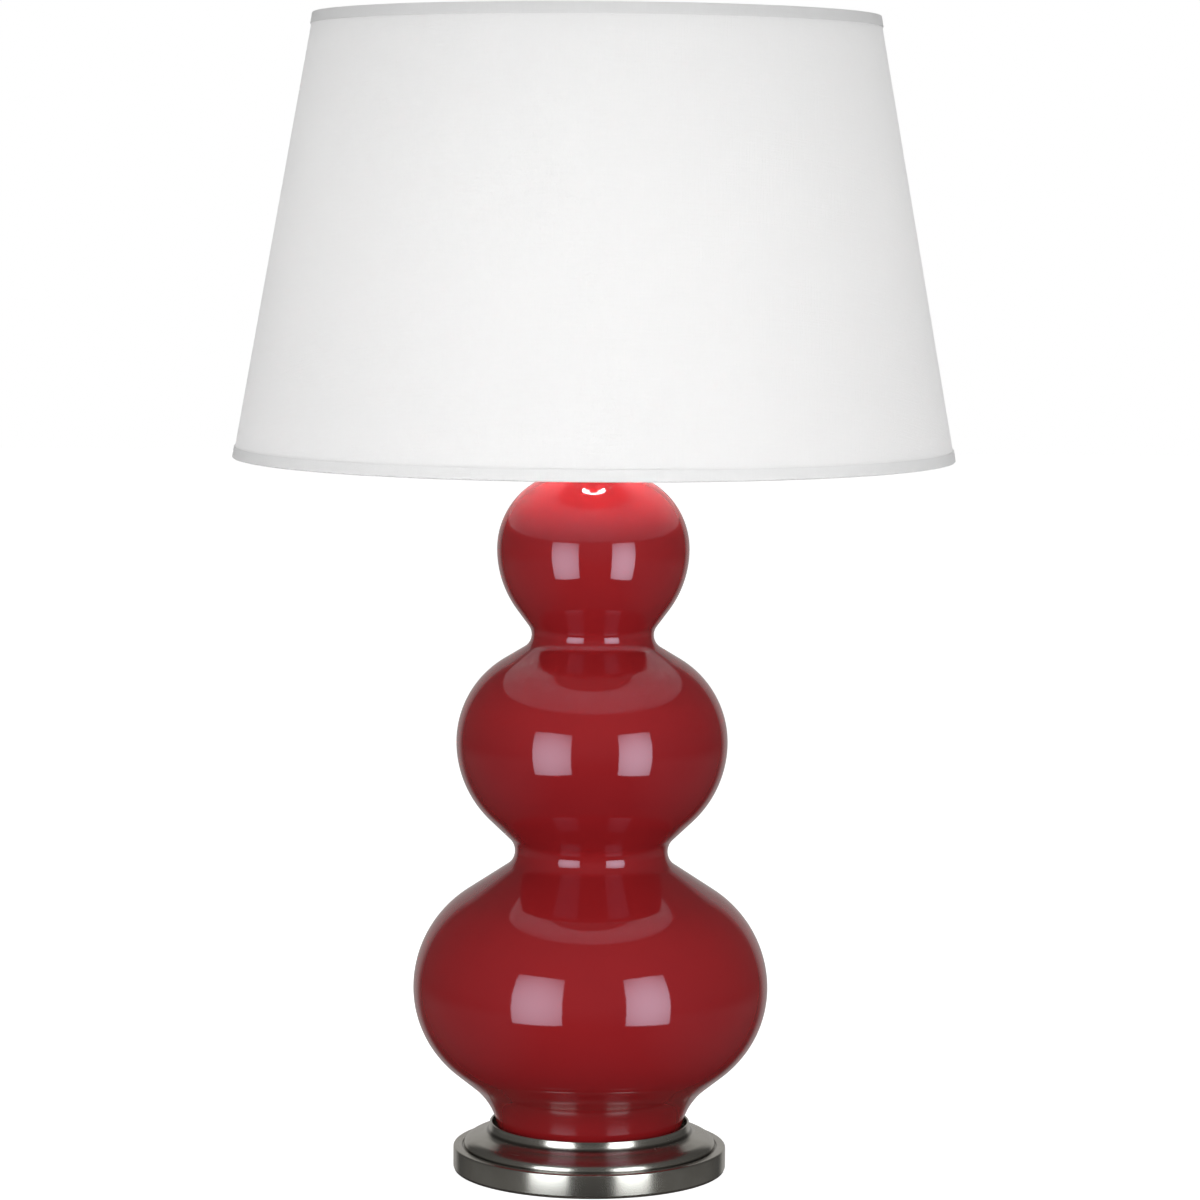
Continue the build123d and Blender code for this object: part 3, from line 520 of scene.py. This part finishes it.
# %% [markdown]
# ## Worn metal
#
# The base, the fittings and the harp are plated and lightly antiqued: bright where hands and
# cloths reach, brown-grey where the dark wash was left. The same effect is wanted on several
# metals with other strengths, so it is a node group. It works in each piece's own space:
# wide clouds of wash, fine lines round the axis as a lathe leaves them, and small specks.

# %% Node group for worn metal
def metal_group():
    group = bpy.data.node_groups.new("worn_metal", "ShaderNodeTree")
    for name, kind, value in [("Bright", "Color", (0.6, 0.58, 0.54, 1)),
                              ("Wash", "Color", (0.2, 0.17, 0.14, 1)), ("Amount", "Float", 0.5),
                              ("Rough", "Float", 0.25), ("Lines", "Float", 0.5)]:
        socket = group.interface.new_socket(name, in_out="INPUT", socket_type="NodeSocket" + kind)
        socket.default_value = value
    for name, kind in [("Color", "Color"), ("Roughness", "Float"), ("Height", "Float")]:
        group.interface.new_socket(name, in_out="OUTPUT", socket_type="NodeSocket" + kind)
    tree = group
    given, result = put(tree, "TexCoord"), tree.nodes.new("NodeGroupOutput")
    asked = tree.nodes.new("NodeGroupInput")
    place = given.outputs["Object"]
    parts = put(tree, "SeparateXYZ")
    join(tree, place, parts.inputs[0])
    ring = put(tree, "CombineXYZ")
    join(tree, hypot(tree, parts.outputs["X"], parts.outputs["Y"]), ring.inputs["X"])
    join(tree, parts.outputs["Z"], ring.inputs["Z"])
    lines = noise(tree, ring.outputs[0], 2400.0, 3.0, 0.6)
    clouds = noise(tree, place, 26.0, 6.0, 0.62)
    specks = noise(tree, place, 520.0, 2.0, 0.5)
    washed = sums(tree, "MULTIPLY", spread(tree, clouds, 0.42, 0.68), asked.outputs["Amount"], clamp=True)
    washed = sums(tree, "MAXIMUM", washed,
                  sums(tree, "MULTIPLY", spread(tree, specks, 0.68, 0.80), asked.outputs["Amount"]))
    tint = mixed_color(tree, washed, asked.outputs["Bright"], asked.outputs["Wash"])
    join(tree, tint, result.inputs["Color"])
    drawn = sums(tree, "MULTIPLY", spread(tree, lines, 0.3, 0.7, -0.08, 0.08), asked.outputs["Lines"])
    rough = sums(tree, "ADD", asked.outputs["Rough"], drawn)
    rough = sums(tree, "ADD", rough, sums(tree, "MULTIPLY", washed, 0.18))
    join(tree, rough, result.inputs["Roughness"])
    join(tree, sums(tree, "MULTIPLY", lines, asked.outputs["Lines"]), result.inputs["Height"])
    return group


worn = metal_group()


def metal_finish(name, bright, wash, amount, rough, lines, depth=0.00002, long_gleam=0.0):
    """Plated metal; a lathe's fine rings draw its highlights out along the axis by long_gleam."""
    made, tree, surface = plain_finish(name, bright, rough, metal=1.0)
    if long_gleam:
        surface.inputs["Anisotropic"].default_value = long_gleam
        surface.inputs["Anisotropic Rotation"].default_value = 0.25
        tangent = put(tree, "Tangent", direction_type="RADIAL", axis="Z").outputs[0]
        join(tree, tangent, surface.inputs["Tangent"])
    effect = put(tree, "Group", node_tree=worn)
    for socket, value in [("Bright", (*bright, 1)), ("Wash", (*wash, 1)), ("Amount", amount),
                          ("Rough", rough), ("Lines", lines)]:
        effect.inputs[socket].default_value = value
    join(tree, effect.outputs["Color"], surface.inputs["Base Color"])
    join(tree, effect.outputs["Roughness"], surface.inputs["Roughness"])
    bump(tree, surface, effect.outputs["Height"], depth, 0.5)
    return made, tree, surface


base_metal, base_tree, base_surface = metal_finish(
    "antique_silver", (0.53, 0.515, 0.472), (0.32, 0.28, 0.23), 0.3, 0.22, 0.2, 0.00001, long_gleam=0.8)
fitting_metal = metal_finish("antique_fitting", (0.60, 0.57, 0.52), (0.20, 0.17, 0.13), 0.6, 0.24, 0.8)[0]
harp_metal = metal_finish("nickel_wire", (0.66, 0.65, 0.62), (0.34, 0.32, 0.29), 0.35, 0.22, 0.3)[0]
socket_metal = metal_finish("nickel_socket", (0.64, 0.62, 0.58), (0.30, 0.27, 0.23), 0.35, 0.24, 0.8)[0]
zinc = metal_finish("zinc_steel", (0.58, 0.59, 0.60), (0.34, 0.34, 0.33), 0.5, 0.34, 0.4)[0]
brass = metal_finish("brass", (0.72, 0.50, 0.20), (0.34, 0.22, 0.09), 0.4, 0.28, 0.5)[0]
bulb_metal = metal_finish("bulb_cap", (0.68, 0.68, 0.67), (0.42, 0.41, 0.40), 0.3, 0.26, 0.3)[0]
solder = metal_finish("solder", (0.50, 0.50, 0.51), (0.30, 0.30, 0.31), 0.5, 0.38, 0.0)[0]
dress(fitting_metal, "vase_cap", "neck", "finial")
dress(harp_metal, "harp_saddle", "harp_wire", "harp_sleeve_left", "harp_sleeve_right", "harp_stud")
dress(socket_metal, "socket_cap", "socket_shell")
dress(zinc, "lamp_pipe", "bottom_washer", "lock_washer", "bottom_nut", "saddle_nut", "switch_shaft")
dress(brass, "terminal_screws", "screw_shell", "centre_contact")
dress(bulb_metal, "bulb_base")
dress(solder, "bulb_tip")
print("metals dressed")

# %% [markdown]
# ## The turned base
#
# A shallow metal drum: a band on the felt, a flat land, a dark groove, a curved shoulder, a
# slope and a collar round the ceramic's foot. Its edges catch the light, so the roundings
# matter more than the flats. The outline is a list of corners, each with its own rounding,
# and is spun like the body. The hole for the cord is drilled with a Boolean. The dark wash of
# the finish stays in two corners: the groove and the foot of the collar.

# %% The base
base_corners = [
    ((90.2, 1.5), 0), ((92.4, 1.5), 0.4), ((92.4, 16.0), 1.3), ((86.4, 16.0), 0.15), ((86.4, 15.2), 0),
    ((85.2, 15.2), 0), ((85.2, 18.8), 4.4), ((81.6, 21.65), 11.0), ((67.7, 25.25), 7.4),
    ((67.7, 32.4), 0.675), ((66.2, 32.4), 0.675), ((66.2, 19.0), 1.0), ((5.05, 19.0), 0),
    ((5.05, 16.8), 0), ((81.6, 16.8), 1.0), ((81.6, 13.8), 1.0), ((90.2, 13.8), 1.0), ((90.2, 1.5), 0),
]
base = turned("base", rounded(base_corners, 9), 200, closed=True)
deselected()
inlet_r, inlet_z = 4.8, 7.4
bpy.ops.mesh.primitive_cylinder_add(vertices=48, radius=inlet_r * mm, depth=12 * mm,
                                    location=(0, 90.5 * mm, inlet_z * mm), rotation=(math.radians(90), 0, 0))
drill = bpy.context.object
cut = base.modifiers.new("inlet", "BOOLEAN")
cut.object, cut.operation, cut.solver = drill, "DIFFERENCE", "EXACT"
deselected()
bpy.context.view_layer.objects.active = base
base.select_set(True)
bpy.ops.object.modifier_apply(modifier="inlet")
bpy.data.objects.remove(drill)
bpy.ops.object.shade_smooth_by_angle(angle=math.radians(35))

place = put(base_tree, "TexCoord").outputs["Object"]
parts = put(base_tree, "SeparateXYZ")
join(base_tree, place, parts.inputs[0])
radius = hypot(base_tree, parts.outputs["X"], parts.outputs["Y"])
dark = 0
for r, z, near, far, most in [(85.8, 15.5, 0.6, 1.5, 0.5), (69.0, 26.6, 0.4, 2.0, 0.8)]:
    away = hypot(base_tree, sums(base_tree, "SUBTRACT", radius, r * mm),
                 sums(base_tree, "SUBTRACT", parts.outputs["Z"], z * mm))
    dark = sums(base_tree, "MAXIMUM", dark, spread(base_tree, away, near * mm, far * mm, most, 0.0))
old = base_surface.inputs["Base Color"].links[0].from_socket
join(base_tree, mixed_color(base_tree, dark, old, (0.05, 0.038, 0.028)), base_surface.inputs["Base Color"])
base.data.materials.append(base_metal)
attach(base, "lamp")
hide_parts("base_pedestal")
print("base:", len(base.data.polygons), "faces")

# %% [markdown]
# ## Cloth in the flat
#
# The linen is laminated to a clear stiff sheet while both lie flat, then rolled into a cone
# and lapped at the back. So the threads run straight on the flat pattern and lean over on the
# sides of the cone. A cylinder's usual map would bend them into circles. Instead each corner
# of the mesh gets its place on the flat pattern, in metres, as its UV.

# %% Flat pattern of the cone
shade_low_r, shade_top_r, shade_h, shade_low_z = 241.3, 188.2, 293.7, 483.374
slant = math.hypot(shade_low_r - shade_top_r, shade_h)
tilt = math.atan2(shade_low_r - shade_top_r, shade_h)


def on_slant(along, inset):
    """Radius and height of a point up the shade's side and in from its outer face."""
    return (shade_low_r - along * math.sin(tilt) - inset * math.cos(tilt),
            shade_low_z + along * math.cos(tilt) - inset * math.sin(tilt))


def flat_pattern(piece, turned_by=None):
    """A UV map in metres of the cone laid flat, whose seam is at the back.

    Each vertex's turn from the seam is worked out from its place when it isn't given.
    """
    mesh = piece.data
    spots = np.empty(len(mesh.vertices) * 3)
    mesh.vertices.foreach_get("co", spots)
    spots = spots.reshape(-1, 3)
    corner = np.empty(len(mesh.loops), dtype=np.int64)
    mesh.loops.foreach_get("vertex_index", corner)
    if turned_by is None:
        ends = np.empty(len(mesh.polygons) * 3)
        mesh.polygons.foreach_get("center", ends)
        ends = ends.reshape(-1, 3)
        counts = np.empty(len(mesh.polygons), dtype=np.int64)
        mesh.polygons.foreach_get("loop_total", counts)
        middle, angle = (np.mod(np.arctan2(p[:, 1], p[:, 0]) - np.pi / 2, 2 * np.pi) for p in (ends, spots))
        middle, angle = np.repeat(middle, counts), angle[corner]
        angle = angle + 2 * np.pi * ((middle - angle) > np.pi) - 2 * np.pi * ((angle - middle) > np.pi)
    else:
        angle = turned_by[corner]
    flat_r = np.hypot(spots[corner, 0], spots[corner, 1]) / math.sin(tilt)
    flat_a = (angle - np.pi) * math.sin(tilt)
    flat = mesh.uv_layers.new(name="flat_cloth")
    flat.data.foreach_set("uv", np.column_stack((flat_r * np.sin(flat_a), flat_r * np.cos(flat_a))).ravel())


print("slant", round(slant, 1), "mm, opened out over", round(360 * math.sin(tilt), 1), "degrees")

# %% [markdown]
# The weave itself is a node group, because the linen and the tapes both use it: fine threads
# over and under each other, and slubs, the thick soft places of hand-spun yarn, which run a
# few centimetres along a thread in both directions.

# %% Node group for woven threads
def weave_group():
    tree = bpy.data.node_groups.new("woven_threads", "ShaderNodeTree")
    for name, kind, value in [("Place", "Vector", (0, 0, 0)), ("Thread", "Float", 0.0005),
                              ("Slubs", "Float", 1.0)]:
        socket = tree.interface.new_socket(name, in_out="INPUT", socket_type="NodeSocket" + kind)
        socket.default_value = value
    for name in ("Height", "Tone"):
        tree.interface.new_socket(name, in_out="OUTPUT", socket_type="NodeSocketFloat")
    asked, result = tree.nodes.new("NodeGroupInput"), tree.nodes.new("NodeGroupOutput")
    parts = put(tree, "SeparateXYZ")
    join(tree, asked.outputs["Place"], parts.inputs[0])
    u = sums(tree, "DIVIDE", parts.outputs["X"], asked.outputs["Thread"])
    v = sums(tree, "DIVIDE", parts.outputs["Y"], asked.outputs["Thread"])
    streaks = []
    for layer, (along_u, along_v) in enumerate(((0.045, 1.0), (1.0, 0.045))):
        spot = put(tree, "CombineXYZ")
        join(tree, sums(tree, "MULTIPLY", u, along_u), spot.inputs[0])
        join(tree, sums(tree, "MULTIPLY", v, along_v), spot.inputs[1])
        spot.inputs[2].default_value = 7.0 * layer
        streaks.append(noise(tree, spot.outputs[0], 0.55, 3.0, 0.6))
    ridge_u, ridge_v = (sums(tree, "ABSOLUTE", sums(tree, "SINE", sums(tree, "MULTIPLY", way, math.pi)))
                        for way in (u, v))
    both_floors = sums(tree, "ADD", sums(tree, "FLOOR", u), sums(tree, "FLOOR", v))
    over = sums(tree, "PINGPONG", both_floors, 1.0)
    threads = sums(tree, "ADD", sums(tree, "MULTIPLY", ridge_u, over),
                   sums(tree, "MULTIPLY", ridge_v, sums(tree, "SUBTRACT", 1.0, over)))
    slubs = sums(tree, "ADD", streaks[0], streaks[1])
    slubs = spread(tree, slubs, 0.7, 1.3, -1.0, 1.0)
    slubs = sums(tree, "MULTIPLY", slubs, asked.outputs["Slubs"])
    join(tree, sums(tree, "ADD", threads, slubs), result.inputs["Height"])
    join(tree, sums(tree, "ADD", sums(tree, "MULTIPLY", slubs, 0.5), 0.5), result.inputs["Tone"])
    return tree


woven = weave_group()
print("woven threads:", len(woven.nodes), "nodes")

# %% [markdown]
# Cloth round a lamp shows two lights: what falls on it and what comes through it. A
# Translucent shader beside the plain surface gives the second. Light from the bulb has to
# pass the lining before it reaches the linen, which a path tracer finds slowly, so both
# sheets let a share of the rays that look for lamps pass straight through. The light that
# bounces about between the white walls before it comes out is even all over, and would need
# very many bounces. A weak glow of the linen and the tapes themselves stands for it.

# %% Linen, lining and tape
def lit_cloth(name, white, through, share, pass_on, thread, slubs, depth, rough=0.85, glow=0.0):
    """Cloth with a colour for each side of the light, and shares of it that pass."""
    color, through = (white,) * 3, (through,) * 3
    made, tree, surface = plain_finish(name, color, rough, Specular_IOR_Level=0.2, Emission_Strength=glow)
    spot = put(tree, "UVMap", uv_map="flat_cloth").outputs["UV"]
    effect = put(tree, "Group", node_tree=woven)
    join(tree, spot, effect.inputs["Place"])
    effect.inputs["Thread"].default_value = thread
    effect.inputs["Slubs"].default_value = slubs
    tone = effect.outputs["Tone"]
    darker = tuple(c * 0.93 for c in color)
    join(tree, mixed_color(tree, tone, darker, color), surface.inputs["Base Color"])
    glowing = mixed_color(tree, tone, (0.94, 0.94, 0.94), (1.0, 1.0, 1.0))
    join(tree, glowing, surface.inputs["Emission Color"])
    raised = bump(tree, surface, effect.outputs["Height"], depth, 0.6)
    behind = put(tree, "BsdfTranslucent")
    join(tree, mixed_color(tree, tone, through, tuple(c * 0.86 for c in through)), behind.inputs["Color"])
    join(tree, raised.outputs["Normal"], behind.inputs["Normal"])
    cloth = put(tree, "MixShader", {0: share})
    join(tree, surface.outputs[0], cloth.inputs[1])
    join(tree, behind.outputs[0], cloth.inputs[2])
    clear = put(tree, "BsdfTransparent", {"Color": (*(pass_on * c for c in through), 1)})
    shown = put(tree, "MixShader")
    join(tree, put(tree, "LightPath").outputs["Is Shadow Ray"], shown.inputs[0])
    join(tree, cloth.outputs[0], shown.inputs[1])
    join(tree, clear.outputs[0], shown.inputs[2])
    join(tree, shown.outputs[0], tree.nodes["Material Output"].inputs["Surface"])
    return made


linen = lit_cloth("shade_linen", 0.82, 0.86, 0.32, 0.30, 0.00055, 1.0, 0.00012, glow=0.25)
lining = lit_cloth("shade_lining", 0.85, 0.90, 0.35, 0.55, 0.0006, 0.15, 0.00002, rough=0.45)
tape_cloth = lit_cloth("shade_tape", 0.84, 0.86, 0.15, 0.12, 0.00045, 0.6, 0.00010, glow=0.05)
print("cloth finishes:", linen.name, lining.name, tape_cloth.name)

# %% [markdown]
# ## The linen and its lining
#
# Two sheets, each a line up the slant, spun round. The real laminate laps over itself at the
# back by about 12 mm, so the spin goes three degrees past the full turn. The spin adds its
# columns of vertices in order, so the start of the sheet, which lies under the lap, is found
# by its number and tucked in by the laminate's thickness. It stays flat at both edges, where
# the tapes hold it. The doubled cloth lets less light through and shows as a darker stripe.

# %% Spin the two sheets
lap_step, lap_columns, laminate, held_flat = 1.5, 3, 1.1, 0.12


def shade_sheet(name, inset, finish):
    line = [on_slant(along, inset) for along in np.linspace(0.8, slant - 0.8, 25)]
    steps = round(360 / lap_step) + lap_columns - 1
    made = turned(name, line, steps, start=90.0, sweep=steps * lap_step)
    spots = np.empty(len(made.data.vertices) * 3)
    made.data.vertices.foreach_get("co", spots)
    spots = spots.reshape(-1, 3)
    column, row = np.divmod(np.arange(len(spots)), len(line))
    between_tapes = (row > 1) & (row < len(line) - 2)
    tucked = (column < lap_columns) * np.where(between_tapes, laminate, held_flat) * mm
    out = np.hypot(spots[:, 0], spots[:, 1])
    spots[:, 0] -= spots[:, 0] / out * tucked * math.cos(tilt)
    spots[:, 1] -= spots[:, 1] / out * tucked * math.cos(tilt)
    spots[:, 2] -= tucked * math.sin(tilt)
    made.data.vertices.foreach_set("co", spots.ravel())
    flat_pattern(made, np.radians(column * lap_step))
    made.data.materials.append(finish)
    return made


shade_linen = shade_sheet("shade_linen", 0.75, linen)
shade_lining = shade_sheet("shade_lining", 1.75, lining)
for sheet_piece, node in ((shade_linen, "shade_fabric"), (shade_lining, "shade_lining")):
    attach(sheet_piece, "shade")
    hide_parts(node)
print("each sheet has", len(shade_linen.data.polygons), "faces")

# %% [markdown]
# ## The tapes
#
# Each edge of the shade is bound with a folded cotton tape, glued over the wire ring. Its
# section is drawn as the fold really goes: down the outside, round the edge, under the ring
# and back up the lining. The strip is spun, then Solidify gives the cloth its thickness.

# %% The two tapes
tape_t, ring_r, wall_t, ring_gap = 0.7, 1.45, 1.1, 0.05
ring_in = tape_t + wall_t + ring_gap + ring_r


def tape_line(from_bottom, tall=7.6):
    half = tape_t / 2
    deep = ring_in + ring_r + ring_gap + half
    corners = [((tall, half), 0), ((half, half), 0.45), ((half, deep), ring_r + half),
               ((tape_t + ring_gap + ring_r * 1.4, deep), 1.0), ((9.0, tape_t + wall_t + half), 0)]
    return [on_slant(along if from_bottom else slant - along, inset) for along, inset in rounded(corners, 5)]


def shade_tape(name, from_bottom, node):
    made = turned(name, tape_line(from_bottom), 240)
    thick = made.modifiers.new("cloth", "SOLIDIFY")
    thick.thickness, thick.offset = tape_t * mm, 0.0
    deselected()
    bpy.context.view_layer.objects.active = made
    made.select_set(True)
    bpy.ops.object.modifier_apply(modifier="cloth")
    bpy.ops.object.shade_smooth_by_angle(angle=math.radians(50))
    flat_pattern(made)
    made.data.materials.append(tape_cloth)
    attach(made, "shade")
    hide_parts(node)
    return made


tape_low = shade_tape("tape_bottom", True, "shade_bottom_tape")
tape_high = shade_tape("tape_top", False, "shade_top_tape")

# %% [markdown]
# ## Wire frame, plastics, paper, rubber and felt
#
# The frame inside the shade is painted white and dips of paint leave it uneven. The rest are
# small pieces that show only from close by, from below or with the lamp taken apart.

# %% Small finishes
def mottled_finish(name, color, rough, scale, change, depth, **more):
    """A plain finish whose colour and surface vary a little, as moulded or painted things do."""
    made, tree, surface = plain_finish(name, color, rough, **more)
    place = put(tree, "TexCoord").outputs["Object"]
    patch = spread(tree, noise(tree, place, scale, 4.0, 0.6), 0.3, 0.7)
    darker, lighter = (tuple(min(1, c * (1 + part)) for c in color) for part in (-change, change))
    join(tree, mixed_color(tree, patch, darker, lighter), surface.inputs["Base Color"])
    varied = spread(tree, patch, 0.0, 1.0, max(0.0, rough - 0.05), min(1.0, rough + 0.07))
    join(tree, varied, surface.inputs["Roughness"])
    bump(tree, surface, noise(tree, place, scale * 9, 3.0, 0.6), depth, 0.5)
    return made


frame_paint = mottled_finish("frame_paint", (0.78, 0.78, 0.76), 0.35, 90, 0.04, 0.00005)
black_plastic = mottled_finish("black_plastic", (0.022, 0.021, 0.020), 0.32, 150, 0.2, 0.00003)
rubber = mottled_finish("rubber", (0.035, 0.034, 0.033), 0.7, 120, 0.2, 0.00005)
board = mottled_finish("liner_board", (0.30, 0.20, 0.11), 0.85, 260, 0.2, 0.00008)
core = mottled_finish("core_plastic", (0.05, 0.033, 0.022), 0.38, 140, 0.2, 0.00003)
black_glass = mottled_finish("black_glass", (0.012, 0.011, 0.014), 0.08, 120, 0.3, 0.00001)
dress(frame_paint, "shade_spider", "shade_top_ring", "shade_bottom_ring")
dress(black_plastic, "switch_knob", "cord_bushing")
dress(rubber, "seat_gasket")
dress(board, "socket_liner")
dress(core, "socket_core")
dress(black_glass, "bulb_insulator")
print("small finishes dressed")

# %% [markdown]
# The felt is a cut disc, soft at its edge. A cylinder's rim is bevelled and the disc gets a
# finish of short fibres: a fine noise for the fibres times a wide one for where they mat.

# %% Felt
deselected()
felt_r, felt_t = 91.8 * mm, 1.5 * mm
bpy.ops.mesh.primitive_cylinder_add(vertices=160, radius=felt_r, depth=felt_t, location=(0, 0, felt_t / 2))
felt = bpy.context.object
felt.name = felt.data.name = "felt_disc"
bpy.ops.object.transform_apply(location=True, rotation=True, scale=True)
bpy.ops.object.mode_set(mode="EDIT")
bpy.ops.mesh.select_all(action="SELECT")
bpy.ops.mesh.bevel(offset=0.4 * mm, segments=3, affect="EDGES")
bpy.ops.object.mode_set(mode="OBJECT")
bpy.ops.object.shade_smooth_by_angle(angle=math.radians(40))
felt_finish, tree, surface = plain_finish("felt", (0.045, 0.040, 0.035), 0.95, Specular_IOR_Level=0.1)
place = put(tree, "TexCoord").outputs["Object"]
fibres = noise(tree, place, 900.0, 4.0, 0.7)
matted = noise(tree, place, 60.0, 3.0, 0.6)
tuft = sums(tree, "MULTIPLY", fibres, matted)
join(tree, mixed_color(tree, tuft, (0.025, 0.022, 0.020), (0.13, 0.115, 0.10)), surface.inputs["Base Color"])
bump(tree, surface, fibres, 0.0002, 0.8)
felt.data.materials.append(felt_finish)
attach(felt, "lamp")
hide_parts("felt_pad")
print("felt:", len(felt.data.polygons), "faces")

# %% [markdown]
# ## The lit bulb
#
# The lamp is switched on in the picture. A frosted bulb looks evenly bright, so its glass
# glows by itself, while a round lamp just outside it gives the light. The renderer finds a
# lamp far better than it finds a glowing mesh, so the glass's own glow is left out of that
# search, and matt surfaces don't see it. A second, narrow lamp in the same place strengthens
# what falls straight down past the socket and makes the top lobe's shoulder glow.

# %% Bulb
frosted, tree, surface = plain_finish("frosted_glass", (0.92, 0.91, 0.88), 0.28, Specular_IOR_Level=0.5)
surface.inputs["Emission Strength"].default_value = 20.0
from_matt = put(tree, "LightPath").outputs["Is Diffuse Ray"]
join(tree, mixed_color(tree, from_matt, (1.0, 0.97, 0.92), (0.0, 0.0, 0.0)), surface.inputs["Emission Color"])
place = put(tree, "TexCoord").outputs["Object"]
bump(tree, surface, noise(tree, place, 900.0, 2.0, 0.5), 0.00002, 0.3)
frosted.cycles.emission_sampling = "NONE"
dress(frosted, "bulb_glass")

bulb_middle_z, light_r = 0.6233, 0.031
for name, kind, watts in (("bulb_light", "POINT", 0.35), ("bulb_light_down", "SPOT", 14.0)):
    lamp = bpy.data.objects.new(name, bpy.data.lights.new(name, kind))
    bpy.context.scene.collection.objects.link(lamp)
    lamp.location = (0, 0, bulb_middle_z)
    lamp.data.shadow_soft_size, lamp.data.use_soft_falloff = light_r, False
    lamp.data.energy, lamp.data.color = watts, (1.0, 0.99, 0.97)
    lamp.visible_glossy = lamp.visible_camera = False
lamp.data.spot_size, lamp.data.spot_blend = math.radians(52), 0.5
print("bulb lit")
